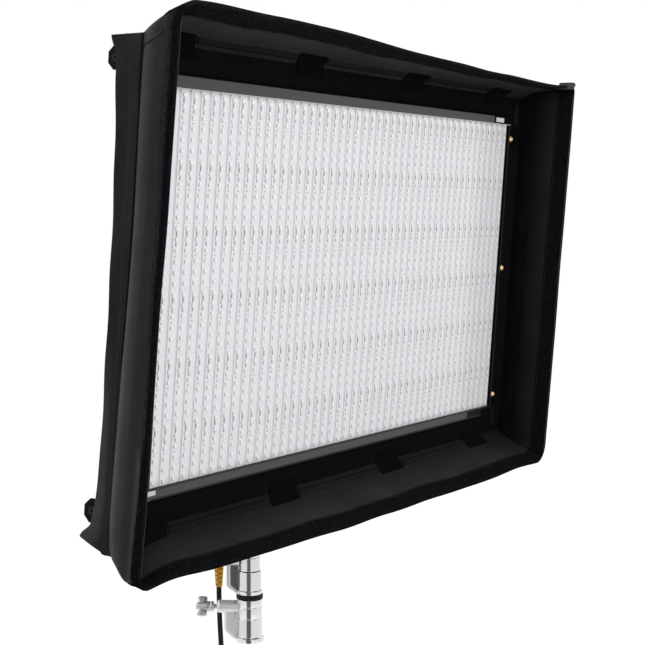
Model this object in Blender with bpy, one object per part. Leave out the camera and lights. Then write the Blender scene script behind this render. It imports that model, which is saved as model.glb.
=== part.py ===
"""LED strip panel with a shallow fabric hood on the top collars of a light stand, one object per piece.

Metres, +Z up, the beam leaves towards -Y. The origin is the centre of the flat underside of the
lower collar, on the axis of the stand. The head is tilted about X on the yoke, the yoke pans about Z.
"""
import math

import bmesh
import bpy

for old in list(bpy.data.objects):
    bpy.data.objects.remove(old, do_unlink=True)

# Fits
GAP = 0.0003              # between pieces that bear on each other
RUN_GAP = 0.0004          # between a shaft and its hole

# LED field
LED_WIDTH = 1.1684        # 46 tapes side by side
LED_HEIGHT = 0.6000       # six lengths of 100 mm, the shortest the tape is cut to
STRIP_PITCH = 0.0254      # 1 inch from tape to tape
STRIP_WIDTH = 0.0193
STRIP_RAISE = 0.0010      # tape thickness on the board
BOARD_THICKNESS = 0.0030
PANEL_THICKNESS = 0.0020  # aluminium back panel

# Frame
CHANNEL_HEIGHT = 0.0165   # grey end channel, seen from the front
CHANNEL_PROUD = 0.0090    # how far it stands in front of the tapes
EDGE_WIDTH = 0.0175       # dark strip at the left and right end of the field
EDGE_PROUD = 0.0050
RAIL_FACE = 0.0500        # rail width seen from the front
RAIL_DEPTH = 0.0360
RAIL_PROUD = 0.0040       # front face of the rails in front of the tapes
RAIL_CHAMFER = 0.0020
RAIL_WALL = 0.0025        # rails and crossbar are hollow sections

# Fabric hood
CLOTH = 0.0025
SLEEVE_GAP = 0.0006       # between the sleeve and the rails
HOOD_DEPTH = 0.0960       # front edge in front of the tapes
FLARE_SIDE = 0.0430       # how far the front edge stands out beyond the sleeve
FLARE_TOP = 0.0410
FLARE_BOTTOM = 0.0370
HOOD_SAG = 0.0094         # the front edge hangs lower than the frame by this much
HOOD_ROLL = 1.18          # degrees, the right end of the front edge hangs lower
BULGE = 0.0040            # roundness of the walls between sleeve and front edge
TOP_BOW = 0.0070          # the top edge bellies up left of its middle
TOP_PEAK = -0.45          # where, from -1 at the left end to 1 at the right end
BOTTOM_BOW = 0.0090       # the bottom edge bellies down
BOTTOM_PEAK = -0.20
SIDE_BOW = -0.0020        # the ends are drawn in
BELLY_SHARE = 0.50        # width of a belly as a share of half the side
CORNER_DRAW = 0.0050      # the corners of the front edge are drawn in by the seam
SKIRT_BACK = 0.0030       # how far the sleeve reaches behind the rails
SKIRT_TIP = 0.0220        # extra reach of its corner tips
SKIRT_TIP_WIDTH = 0.0200
BAND_LONG = 0.0420        # loop band on the top and bottom walls
BAND_SHORT = 0.0310       # loop band on the end walls
BAND_THICKNESS = 0.0016
TAB_WIDTH = 0.0850
TAB_REACH = 0.0280
TAB_THICKNESS = 0.0020
TAB_INSET = 0.0997        # from the end of the frame to the middle of the outer tab
TAB_SHIFT = -0.0360       # the row of tabs sits left of the middle
TAB_COUNT = 4

# Corner lugs
LUG_THICKNESS = 0.0050
LUG_REACH = 0.0380
LUG_HEIGHT = 0.0360
LUG_INSET = 0.0120        # from the end of the frame to the outer face of the lug
LUG_EDGE = 0.0155         # from the top or bottom of the frame to the edge of the lug
LUG_CHAMFER = 0.0100
LUG_HOLE = 0.0050         # radius

# Stand collars
RISER_RADIUS = 0.0150
LIP_RADIUS = 0.0273
LIP_HEIGHT = 0.0133
LOWER_RADIUS = 0.0222
LOWER_HEIGHT = 0.0808
GROOVE_DEPTH = 0.0012
GROOVE_HEIGHT = 0.0020
LOW_GROOVE_Z = 0.0468
HIGH_GROOVE_Z = 0.0688
RING_RADIUS = 0.0252
RING_HEIGHT = 0.0098
FLANGE_RADIUS = 0.0237
FLANGE_HEIGHT = 0.0103
UPPER_RADIUS = 0.0207
UPPER_BODY = 0.0367       # height of the wide part above the flange
NECK_RADIUS = 0.0182
NECK_HEIGHT = 0.0500
RISER_SEAT = 0.0160       # riser end inside the upper collar
SPIGOT_RADIUS = 0.0125
SPIGOT_DEPTH = 0.0700

# Webs, bosses and wing handles
HANDLE_AZIMUTH = 121.72   # degrees from +X, both handles point to this side
WEB_THICKNESS = 0.0140
LOWER_WEB_REACH = 0.0460
UPPER_WEB_REACH = 0.0385
WEB_CHAMFER = 0.0150
BOSS_RADIUS = 0.0120
LOWER_BOSS_REACH = 0.0620
UPPER_BOSS_REACH = 0.0570
LOWER_BOSS_DROP = 0.0150  # boss axis below the top of the lower collar
UPPER_BOSS_DROP = 0.0330  # boss axis below the top of the upper collar
SCREW_RADIUS = 0.0048
SCREW_SHOWS = 0.0050      # bare screw between boss and handle hub
HUB_RADIUS = 0.0100
HUB_LENGTH = 0.0150
WING_WIDTH = 0.0200       # along the screw
WING_SPAN = 0.0390
WING_THICKNESS = 0.0110
WING_TURN = 35.0          # degrees from upright

# Yoke
TILT = 4.28               # degrees, the head looks down by this much
HEAD_AHEAD = 0.2380       # LED field in front of the stand axis
HEAD_HEIGHT = 0.6990
PIVOT_BEHIND = 0.1080     # tilt axis behind the LED field
SHOULDER_RADIUS = 0.0240
SHOULDER_HEIGHT = 0.0094
BASE_HALF = 0.1900
BASE_DEPTH = 0.0600
BASE_THICKNESS = 0.0120
ARM_WIDTH = 0.0500
ARM_THICKNESS = 0.0100
CROSSBAR_HEIGHT = 0.0800
CROSSBAR_DEPTH = 0.0240
EAR_THICKNESS = 0.0080
EAR_RADIUS = 0.0220
BOLT_RADIUS = 0.0060
BOLT_HEAD = 0.0105
BOLT_HEAD_LENGTH = 0.0070
LEVER_HUB = 0.0130
LEVER_LENGTH = 0.0700
LEVER_THICKNESS = 0.0140

# Power supply and cord
SUPPLY_HALF = 0.1050
SUPPLY_DEPTH = 0.0800
SUPPLY_HEIGHT = 0.2100
SUPPLY_BEHIND = 0.0640    # front face behind the stand axis
SUPPLY_FLOOR = 0.1920
SUPPLY_CHAMFER = 0.0040
BRACKET_HALF = 0.0600
BRACKET_THICKNESS = 0.0050
BRACKET_HEIGHT = 0.0900
CORD_X = 0.0538
CORD_Y = 0.1100
INLET_WIDTH = 0.0320
INLET_HEIGHT = 0.0090
PLUG_WIDTH = 0.0240
PLUG_DEPTH = 0.0200
PLUG_LENGTH = 0.0595
BOOT_LENGTH = 0.0440
BOOT_RADIUS = 0.0090
BOOT_TAIL = 0.0066
CORD_RADIUS = 0.0051
CORD_DROP = 0.2780        # from the boot down to the coupler
CORD_SWING = 0.0180       # sideways drift of the hanging cord
COUPLER_RADIUS = 0.0140
COUPLER_LENGTH = 0.0700
SOCKET_RADIUS = 0.0120
SOCKET_LENGTH = 0.0180
KNOB_RADIUS = 0.0140
KNOB_LENGTH = 0.0160
KNOB_OFFSET = 0.0500
KNOB_HEIGHT = 0.1400

# Derived sizes of the head, measured from the centre of the LED field
LED_HALF_W = LED_WIDTH / 2
LED_HALF_H = LED_HEIGHT / 2
STRIP_COUNT = math.floor(LED_WIDTH / STRIP_PITCH + 0.001)
IN_HALF_W = LED_HALF_W + EDGE_WIDTH
IN_HALF_H = LED_HALF_H + CHANNEL_HEIGHT
OUT_HALF_W = IN_HALF_W + RAIL_FACE
OUT_HALF_H = IN_HALF_H + RAIL_FACE
RAIL_FRONT = -RAIL_PROUD
RAIL_BACK = RAIL_FRONT + RAIL_DEPTH
BOARD_BACK = STRIP_RAISE + BOARD_THICKNESS
PANEL_FRONT = BOARD_BACK + GAP
PANEL_BACK = PANEL_FRONT + PANEL_THICKNESS
SLEEVE_HALF_W = OUT_HALF_W + SLEEVE_GAP + CLOTH
SLEEVE_HALF_H = OUT_HALF_H + SLEEVE_GAP + CLOTH
FOLD_Y = RAIL_FRONT - GAP          # where sleeve and walls meet
EDGE_Y = -HOOD_DEPTH               # front edge of the loop bands
WALL_SHARE = 1 - (BAND_THICKNESS + GAP) / (HOOD_DEPTH + FOLD_Y)

# Derived heights of the stand parts
RING_Z = LOWER_HEIGHT + GAP
UPPER_Z = RING_Z + RING_HEIGHT + GAP
NECK_Z = UPPER_Z + FLANGE_HEIGHT + UPPER_BODY
UPPER_TOP = NECK_Z + NECK_HEIGHT
RISER_TOP = UPPER_Z + RISER_SEAT
SPIGOT_BASE = UPPER_TOP - SPIGOT_DEPTH
SHOULDER_Z = UPPER_TOP + GAP
BASE_Z = SHOULDER_Z + SHOULDER_HEIGHT + GAP
BASE_TOP = BASE_Z + BASE_THICKNESS
LOWER_HANDLE_Z = LOWER_HEIGHT - LOWER_BOSS_DROP
UPPER_HANDLE_Z = UPPER_TOP - UPPER_BOSS_DROP
TILT_RAD = math.radians(TILT)
PIVOT_Y = -HEAD_AHEAD + PIVOT_BEHIND * math.cos(TILT_RAD)
PIVOT_Z = HEAD_HEIGHT + PIVOT_BEHIND * math.sin(TILT_RAD)
ARM_INNER = BASE_HALF + GAP
ARM_OUTER = ARM_INNER + ARM_THICKNESS
EAR_OUTER = ARM_INNER - GAP
EAR_INNER = EAR_OUTER - EAR_THICKNESS
SUPPLY_TOP = SUPPLY_FLOOR + SUPPLY_HEIGHT
SUPPLY_BACK = SUPPLY_BEHIND + SUPPLY_DEPTH
INLET_Z = SUPPLY_FLOOR - GAP - INLET_HEIGHT
PLUG_Z = INLET_Z - GAP - PLUG_LENGTH
BOOT_Z = PLUG_Z - GAP - BOOT_LENGTH
CORD_TOP = BOOT_Z - GAP


def paint(name, colour, roughness, metallic=0.0):
    """A Principled material of one colour."""
    mat = bpy.data.materials.new(name)
    mat.use_nodes = True
    shader = mat.node_tree.nodes["Principled BSDF"]
    shader.inputs["Base Color"].default_value = (*colour, 1.0)
    shader.inputs["Roughness"].default_value = roughness
    shader.inputs["Metallic"].default_value = metallic
    return mat


FRAME_BLACK = paint("frame_black", (0.012, 0.012, 0.013), 0.45)
CHANNEL_GREY = paint("channel_grey", (0.30, 0.30, 0.31), 0.40, 0.8)
BOARD_WHITE = paint("board_white", (0.80, 0.80, 0.78), 0.55)
PANEL_ALU = paint("panel_aluminium", (0.45, 0.45, 0.46), 0.45, 0.9)
CLOTH_BLACK = paint("cloth_black", (0.020, 0.020, 0.021), 0.70)
LOOP_BLACK = paint("loop_black", (0.016, 0.018, 0.022), 0.95)
CAST_ALU = paint("cast_aluminium", (0.66, 0.66, 0.67), 0.22, 1.0)
STEEL_DARK = paint("dark_steel", (0.10, 0.10, 0.11), 0.35, 1.0)
RUBBER = paint("rubber_black", (0.010, 0.010, 0.010), 0.75)
PLASTIC_BLACK = paint("plastic_black", (0.015, 0.015, 0.016), 0.50)
BOOT_YELLOW = paint("boot_yellow", (0.80, 0.38, 0.02), 0.55)


def finish(name, mesh, mat, parent=None, cutter=False):
    """Turn a mesh into a named object; edges sharper than 30 degrees stay sharp."""
    form = bmesh.new()
    form.from_mesh(mesh)
    bmesh.ops.recalc_face_normals(form, faces=form.faces)
    form.to_mesh(mesh)
    form.free()
    mesh.polygons.foreach_set("use_smooth", [True] * len(mesh.polygons))
    mesh.set_sharp_from_angle(angle=math.radians(30))
    mesh.materials.append(mat)
    obj = bpy.data.objects.new(name, mesh)
    bpy.context.scene.collection.objects.link(obj)
    obj.parent = parent
    if cutter:
        obj.hide_render = True
        obj.display_type = "WIRE"
    return obj


def solid(name, verts, faces, mat, parent=None, cutter=False):
    """A closed mesh object from vertices and faces."""
    mesh = bpy.data.meshes.new(name)
    mesh.from_pydata(verts, [], faces)
    return finish(name, mesh, mat, parent, cutter)


def place(axis, first, second, along):
    """A point given in the plane across an axis and along that axis."""
    if axis == "x":
        return along, first, second
    if axis == "y":
        return first, along, second
    return first, second, along


def prism(name, outline, low, high, axis, mat, parent=None, cutter=False):
    """An outline in the plane across an axis, drawn out from low to high along it."""
    count = len(outline)
    verts = [place(axis, a, b, low) for a, b in outline]
    verts += [place(axis, a, b, high) for a, b in outline]
    faces = [tuple(range(count)), tuple(range(count, 2 * count))]
    for i in range(count):
        j = (i + 1) % count
        faces.append((i, j, count + j, count + i))
    return solid(name, verts, faces, mat, parent, cutter)


def box_outline(a0, a1, b0, b1, chamfer=0.0):
    """A rectangle with chamfered corners."""
    if chamfer == 0.0:
        return [(a0, b0), (a1, b0), (a1, b1), (a0, b1)]
    c = chamfer
    return [(a0 + c, b0), (a1 - c, b0), (a1, b0 + c), (a1, b1 - c),
            (a1 - c, b1), (a0 + c, b1), (a0, b1 - c), (a0, b0 + c)]


def hollow(name, a0, a1, b0, b1, low, high, axis, mat, parent=None):
    """A chamfered rectangular tube, open at both ends."""
    w = RAIL_WALL
    loops = (box_outline(a0, a1, b0, b1, RAIL_CHAMFER), box_outline(a0 + w, a1 - w, b0 + w, b1 - w, RAIL_CHAMFER))
    verts = []
    for level in (low, high):
        for loop in loops:
            verts += [place(axis, a, b, level) for a, b in loop]
    count = len(loops[0])
    faces = []
    for i in range(count):
        j = (i + 1) % count
        faces.append((i, j, count + j, count + i))
        faces.append((2 * count + i, 2 * count + j, 3 * count + j, 3 * count + i))
        faces.append((i, j, 2 * count + j, 2 * count + i))
        faces.append((count + i, count + j, 3 * count + j, 3 * count + i))
    return solid(name, verts, faces, mat, parent)


def drilled(name, outline, centre, radius, low, high, axis, mat, parent=None, steps=32):
    """A convex plate with one round hole: outline and hole are met by the same rays from the centre."""
    angles = [2 * math.pi * i / steps for i in range(steps)]
    angles += [math.atan2(b - centre[1], a - centre[0]) % (2 * math.pi) for a, b in outline]
    rays = []
    for angle in sorted(angles):
        if not rays or angle - rays[-1] > 1e-6:
            rays.append(angle)
    outer = []
    inner = []
    for angle in rays:
        dx, dy = math.cos(angle), math.sin(angle)
        best = None
        for i, (ax, ay) in enumerate(outline):
            bx, by = outline[(i + 1) % len(outline)]
            ex, ey = bx - ax, by - ay
            cross = dx * ey - dy * ex
            if abs(cross) < 1e-12:
                continue
            px, py = ax - centre[0], ay - centre[1]
            far = (px * ey - py * ex) / cross
            share = (px * dy - py * dx) / cross
            if far > 0 and -1e-6 <= share <= 1 + 1e-6 and (best is None or far < best):
                best = far
        outer.append((centre[0] + best * dx, centre[1] + best * dy))
        inner.append((centre[0] + radius * dx, centre[1] + radius * dy))
    count = len(rays)
    verts = []
    for loop, level in ((outer, low), (inner, low), (outer, high), (inner, high)):
        verts += [place(axis, a, b, level) for a, b in loop]
    faces = []
    for i in range(count):
        j = (i + 1) % count
        faces.append((i, j, count + j, count + i))
        faces.append((2 * count + i, 2 * count + j, 3 * count + j, 3 * count + i))
        faces.append((i, j, 2 * count + j, 2 * count + i))
        faces.append((count + i, count + j, 3 * count + j, 3 * count + i))
    return solid(name, verts, faces, mat, parent)


def turned(name, profile, axis, mat, centre=(0.0, 0.0, 0.0), parent=None, cutter=False, steps=48):
    """A closed (radius, height) profile turned about an axis through a centre."""
    verts = []
    rings = []
    for radius, height in profile:
        if radius == 0.0:
            rings.append([len(verts)] * steps)
            local = [place(axis, 0.0, 0.0, height)]
        else:
            rings.append(list(range(len(verts), len(verts) + steps)))
            local = []
            for i in range(steps):
                angle = 2 * math.pi * i / steps
                local.append(place(axis, radius * math.cos(angle), radius * math.sin(angle), height))
        verts += [tuple(c + v for c, v in zip(centre, point)) for point in local]
    faces = []
    for ring, after in zip(rings, rings[1:] + rings[:1]):
        for i in range(steps):
            j = (i + 1) % steps
            corners = [ring[i], ring[j], after[j], after[i]]
            face = [v for n, v in enumerate(corners) if v not in corners[:n]]
            if len(face) > 2:
                faces.append(tuple(face))
    return solid(name, verts, faces, mat, parent, cutter)


def rod(name, radius, low, high, axis, mat, centre=(0.0, 0.0, 0.0), parent=None, cutter=False, steps=32):
    """A plain round bar along an axis."""
    profile = [(0.0, low), (radius, low), (radius, high), (0.0, high)]
    return turned(name, profile, axis, mat, centre, parent, cutter, steps)


def combine(obj, other, operation):
    """Join or cut with a hidden helper object, left live."""
    step = obj.modifiers.new(other.name, "BOOLEAN")
    step.object = other
    step.operation = operation
    step.solver = "EXACT"


def empty(name, location, rotation=(0.0, 0.0, 0.0), parent=None):
    """A frame that carries the pieces of one moving body."""
    obj = bpy.data.objects.new(name, None)
    bpy.context.scene.collection.objects.link(obj)
    obj.location = location
    obj.rotation_euler = rotation
    obj.parent = parent
    return obj


# The collars of the stand, each with a web and a boss on the handle side
handle_turn = (0.0, 0.0, math.radians(HANDLE_AZIMUTH))
stand = empty("stand_frame", (0.0, 0.0, 0.0), handle_turn)
BORE = RISER_RADIUS + RUN_GAP
WEB_ROOT = BORE + 0.5 * (LOWER_RADIUS - BORE)
SPIGOT_BORE = SPIGOT_RADIUS + RUN_GAP


def cast_collar(name, profile, web, boss_z, boss_reach, bores):
    """Turned body joined to its web and boss, then bored along both axes."""
    body = turned(name, profile, "z", CAST_ALU, parent=stand, steps=64)
    half = WEB_THICKNESS / 2
    web_part = prism(name + "_web", web, -half, half, "y", CAST_ALU, stand, True)
    boss = rod(name + "_boss", BOSS_RADIUS, WEB_ROOT, boss_reach, "x", CAST_ALU,
               (0.0, 0.0, boss_z), stand, True, 40)
    combine(body, web_part, "UNION")
    combine(body, boss, "UNION")
    for number, (radius, low, high) in enumerate(bores):
        cutter = rod(name + "_bore_" + str(number), radius, low, high, "z", CAST_ALU, parent=stand,
                     cutter=True, steps=64)
        combine(body, cutter, "DIFFERENCE")
    hole = rod(name + "_tap", SCREW_RADIUS + RUN_GAP, 0.0, boss_reach + BOSS_RADIUS, "x", CAST_ALU,
               (0.0, 0.0, boss_z), stand, True)
    combine(body, hole, "DIFFERENCE")
    return body


def groove(radius, level):
    """A shallow turned groove as profile points, bottom to top."""
    return [(radius, level), (radius - GROOVE_DEPTH, level + GROOVE_DEPTH / 2),
            (radius - GROOVE_DEPTH, level + GROOVE_HEIGHT - GROOVE_DEPTH / 2), (radius, level + GROOVE_HEIGHT)]


lower_profile = [(0.0, 0.0), (LIP_RADIUS - GROOVE_DEPTH, 0.0), (LIP_RADIUS, GROOVE_DEPTH),
                 (LIP_RADIUS, LIP_HEIGHT - GROOVE_DEPTH), (LOWER_RADIUS, LIP_HEIGHT)]
lower_profile += groove(LOWER_RADIUS, LOW_GROOVE_Z) + groove(LOWER_RADIUS, HIGH_GROOVE_Z)
lower_profile += [(LOWER_RADIUS, LOWER_HEIGHT), (0.0, LOWER_HEIGHT)]
WEB_FOOT = LIP_HEIGHT + GROOVE_DEPTH
lower_web = [(WEB_ROOT, WEB_FOOT), (LOWER_WEB_REACH - WEB_CHAMFER, WEB_FOOT),
             (LOWER_WEB_REACH, WEB_FOOT + WEB_CHAMFER), (LOWER_WEB_REACH, LOWER_HANDLE_Z),
             (WEB_ROOT, LOWER_HEIGHT - GROOVE_DEPTH)]
lower_bores = [(BORE, -LIP_HEIGHT, LOWER_HEIGHT + LIP_HEIGHT)]
lower_collar = cast_collar("lower_collar", lower_profile, lower_web, LOWER_HANDLE_Z, LOWER_BOSS_REACH, lower_bores)

turned("collar_ring", [(BORE, RING_Z), (RING_RADIUS - GROOVE_DEPTH, RING_Z), (RING_RADIUS, RING_Z + GROOVE_DEPTH),
                       (RING_RADIUS, RING_Z + RING_HEIGHT - GROOVE_DEPTH),
                       (RING_RADIUS - GROOVE_DEPTH, RING_Z + RING_HEIGHT), (BORE, RING_Z + RING_HEIGHT)],
       "z", RUBBER, steps=64)

upper_profile = [(0.0, UPPER_Z), (FLANGE_RADIUS, UPPER_Z), (FLANGE_RADIUS, UPPER_Z + FLANGE_HEIGHT - GROOVE_DEPTH),
                 (UPPER_RADIUS, UPPER_Z + FLANGE_HEIGHT), (UPPER_RADIUS, NECK_Z), (NECK_RADIUS, NECK_Z + GROOVE_DEPTH),
                 (NECK_RADIUS, UPPER_TOP), (0.0, UPPER_TOP)]
upper_foot = UPPER_Z + FLANGE_HEIGHT - GROOVE_DEPTH
upper_web = [(WEB_ROOT, upper_foot), (UPPER_WEB_REACH - WEB_CHAMFER / 2, upper_foot),
             (UPPER_WEB_REACH, upper_foot + WEB_CHAMFER / 2), (UPPER_WEB_REACH, UPPER_HANDLE_Z),
             (WEB_ROOT, UPPER_HANDLE_Z + BOSS_RADIUS)]
upper_bores = [(BORE, UPPER_Z - RING_HEIGHT, RISER_TOP + GAP), (SPIGOT_BORE, UPPER_Z, UPPER_TOP + NECK_HEIGHT)]
cast_collar("upper_collar", upper_profile, upper_web, UPPER_HANDLE_Z, UPPER_BOSS_REACH, upper_bores)

# The riser is cut flush with the underside of the lower collar: the rest of the stand joins on there
rod("riser", RISER_RADIUS, 0.0, RISER_TOP, "z", STEEL_DARK, steps=48)


def wing_handle(name, level, tip, boss_reach):
    """Clamp screw, hub and wings in one turned and joined piece; its origin is on the screw axis."""
    frame = empty(name + "_axis", (0.0, 0.0, level), handle_turn)
    hub = boss_reach + SCREW_SHOWS
    wing = hub + HUB_LENGTH
    end = wing + WING_WIDTH
    profile = [(0.0, tip), (SCREW_RADIUS, tip), (SCREW_RADIUS, hub), (HUB_RADIUS, hub + GROOVE_DEPTH),
               (HUB_RADIUS, wing), (HUB_RADIUS * 0.8, end - GROOVE_DEPTH * 2), (HUB_RADIUS * 0.5, end), (0.0, end)]
    body = turned(name, profile, "x", CAST_ALU, parent=frame, steps=32)
    half = WING_SPAN / 2
    round_off = WING_WIDTH * 0.3
    outline = box_outline(wing - HUB_LENGTH * 0.2, end - GROOVE_DEPTH, -half, half, round_off)
    bar = prism(name + "_bar", outline, -WING_THICKNESS / 2, WING_THICKNESS / 2, "y", CAST_ALU, frame, True)
    bar.rotation_euler = (math.radians(WING_TURN), 0.0, 0.0)
    combine(body, bar, "UNION")
    return body


wing_handle("lower_handle", LOWER_HANDLE_Z, RISER_RADIUS + GAP, LOWER_BOSS_REACH)
wing_handle("upper_handle", UPPER_HANDLE_Z, SPIGOT_RADIUS + GAP, UPPER_BOSS_REACH)

# Yoke: spigot, base and two leaning arms
turned("spigot", [(0.0, SPIGOT_BASE), (SPIGOT_RADIUS, SPIGOT_BASE), (SPIGOT_RADIUS, SHOULDER_Z),
                  (SHOULDER_RADIUS, SHOULDER_Z), (SHOULDER_RADIUS, SHOULDER_Z + SHOULDER_HEIGHT),
                  (0.0, SHOULDER_Z + SHOULDER_HEIGHT)], "z", STEEL_DARK)
prism("yoke_base", box_outline(-BASE_DEPTH / 2, BASE_DEPTH / 2, BASE_Z, BASE_TOP, RAIL_CHAMFER),
      -BASE_HALF, BASE_HALF, "x", FRAME_BLACK)
ARM_FOOT_Z = BASE_Z + BASE_THICKNESS / 2
ARM_LENGTH = math.hypot(PIVOT_Y, PIVOT_Z - ARM_FOOT_Z)
ARM_LEAN = math.atan2(-PIVOT_Y, PIVOT_Z - ARM_FOOT_Z)


def capsule(length, width, steps=12):
    """Outline of a bar with round ends, its top centre at the origin, hanging down."""
    radius = width / 2
    points = []
    for i in range(steps + 1):
        angle = math.pi * i / steps
        points.append((radius * math.cos(angle), radius * math.sin(angle)))
    for i in range(steps + 1):
        angle = math.pi + math.pi * i / steps
        points.append((radius * math.cos(angle), -length + radius * math.sin(angle)))
    return points


HOLE = BOLT_RADIUS + RUN_GAP
arm_frame = empty("arm_frame", (0.0, PIVOT_Y, PIVOT_Z), (ARM_LEAN, 0.0, 0.0))
arm_outline = capsule(ARM_LENGTH, ARM_WIDTH)
for side, sign in (("left", -1), ("right", 1)):
    near, far = sorted((sign * ARM_INNER, sign * ARM_OUTER))
    drilled("yoke_arm_" + side, arm_outline, (0.0, 0.0), HOLE, near, far, "x", FRAME_BLACK, arm_frame)
    tail = sign * (EAR_INNER - BOLT_HEAD_LENGTH)
    face = sign * (ARM_OUTER + GAP)
    cap = sign * (ARM_OUTER + GAP + BOLT_HEAD_LENGTH)
    turned("tilt_bolt_" + side, [(0.0, tail), (BOLT_RADIUS, tail), (BOLT_RADIUS, face), (BOLT_HEAD, face),
                                 (BOLT_HEAD, cap), (0.0, cap)], "x", STEEL_DARK, parent=arm_frame)
lever_face = -(ARM_OUTER + 2 * GAP + BOLT_HEAD_LENGTH)
lever_outline = [(LEVER_HUB * math.cos(a), LEVER_HUB * math.sin(a))
                 for a in (math.pi * i / 12 for i in range(13))]
lever_outline += [(-LEVER_HUB * 0.55, -LEVER_LENGTH), (LEVER_HUB * 0.55, -LEVER_LENGTH)]
prism("tilt_lever", lever_outline, lever_face - LEVER_THICKNESS, lever_face, "x", PLASTIC_BLACK, arm_frame)

# Power supply behind the stand, its inlet and the hanging cord
prism("supply_case", box_outline(-SUPPLY_HALF, SUPPLY_HALF, SUPPLY_BEHIND, SUPPLY_BACK, SUPPLY_CHAMFER),
      SUPPLY_FLOOR, SUPPLY_TOP, "z", FRAME_BLACK)
BRACKET_Z = BASE_TOP + GAP
BRACKET_BACK = SUPPLY_BEHIND - GAP
prism("supply_bracket", [(-BASE_DEPTH / 2, BRACKET_Z), (BRACKET_BACK, BRACKET_Z),
                         (BRACKET_BACK, BRACKET_Z + BRACKET_HEIGHT),
                         (BRACKET_BACK - BRACKET_THICKNESS, BRACKET_Z + BRACKET_HEIGHT),
                         (BRACKET_BACK - BRACKET_THICKNESS, BRACKET_Z + BRACKET_THICKNESS),
                         (-BASE_DEPTH / 2, BRACKET_Z + BRACKET_THICKNESS)],
      -BRACKET_HALF, BRACKET_HALF, "x", STEEL_DARK)
inlet_half = INLET_WIDTH / 2
prism("supply_inlet", box_outline(CORD_X - inlet_half, CORD_X + inlet_half, CORD_Y - inlet_half,
                                  CORD_Y + inlet_half, SUPPLY_CHAMFER),
      INLET_Z, SUPPLY_FLOOR - GAP, "z", PLASTIC_BLACK)
prism("cord_plug", box_outline(CORD_X - PLUG_WIDTH / 2, CORD_X + PLUG_WIDTH / 2, CORD_Y - PLUG_DEPTH / 2,
                               CORD_Y + PLUG_DEPTH / 2, SUPPLY_CHAMFER),
      PLUG_Z, INLET_Z - GAP, "z", PLASTIC_BLACK)
turned("cord_boot", [(0.0, BOOT_Z), (BOOT_TAIL, BOOT_Z), (BOOT_RADIUS, BOOT_Z + BOOT_LENGTH * 0.77),
                     (BOOT_RADIUS, BOOT_Z + BOOT_LENGTH), (0.0, BOOT_Z + BOOT_LENGTH)],
       "z", BOOT_YELLOW, (CORD_X, CORD_Y, 0.0), steps=32)


def hang(share):
    """Route of the cord: straight out of the boot, a slow drift to one side, straight into the coupler."""
    drift = CORD_SWING * (1 - math.cos(math.pi * share)) / 2
    return CORD_X + drift, CORD_Y, CORD_TOP - CORD_DROP * share


curve = bpy.data.curves.new("power_cord", "CURVE")
curve.dimensions = "3D"
curve.bevel_depth = CORD_RADIUS
curve.bevel_resolution = 3
curve.use_fill_caps = True
spline = curve.splines.new("POLY")
CORD_POINTS = 13
spline.points.add(CORD_POINTS - 1)
for number, point in enumerate(spline.points):
    point.co = (*hang(number / (CORD_POINTS - 1)), 1.0)
curve.materials.append(RUBBER)
cord = bpy.data.objects.new("power_cord", curve)
bpy.context.scene.collection.objects.link(cord)
coupler_x, coupler_y, coupler_z = hang(1.0)
coupler_top = coupler_z - GAP
rod("cord_coupler", COUPLER_RADIUS, coupler_top - COUPLER_LENGTH, coupler_top, "z", PLASTIC_BLACK,
    (coupler_x, coupler_y, 0.0))
rod("supply_socket", SOCKET_RADIUS, SUPPLY_TOP + GAP, SUPPLY_TOP + GAP + SOCKET_LENGTH, "z", STEEL_DARK,
    (-KNOB_OFFSET, SUPPLY_BEHIND + SUPPLY_DEPTH / 2, 0.0))
knob_frame = empty("knob_axis", (KNOB_OFFSET, SUPPLY_BACK + GAP, SUPPLY_FLOOR + KNOB_HEIGHT))
turned("dimmer_knob", [(0.0, 0.0), (KNOB_RADIUS, 0.0), (KNOB_RADIUS * 0.9, KNOB_LENGTH), (0.0, KNOB_LENGTH)],
       "y", PLASTIC_BLACK, parent=knob_frame, steps=32)

# Head: everything below is placed from the centre of the LED field and carried on the tilt axis
tilt_frame = empty("tilt_axis", (0.0, PIVOT_Y, PIVOT_Z), (TILT_RAD, 0.0, 0.0))
head = empty("head_frame", (0.0, -PIVOT_BEHIND, 0.0), parent=tilt_frame)

RAIL_END = IN_HALF_W - GAP
hollow("rail_top", RAIL_FRONT, RAIL_BACK, IN_HALF_H, OUT_HALF_H, -RAIL_END, RAIL_END, "x", FRAME_BLACK, head)
hollow("rail_bottom", RAIL_FRONT, RAIL_BACK, -OUT_HALF_H, -IN_HALF_H, -RAIL_END, RAIL_END, "x", FRAME_BLACK, head)
hollow("rail_right", IN_HALF_W, OUT_HALF_W, RAIL_FRONT, RAIL_BACK, -OUT_HALF_H, OUT_HALF_H, "z", FRAME_BLACK, head)
hollow("rail_left", -OUT_HALF_W, -IN_HALF_W, RAIL_FRONT, RAIL_BACK, -OUT_HALF_H, OUT_HALF_H, "z", FRAME_BLACK, head)

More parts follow.
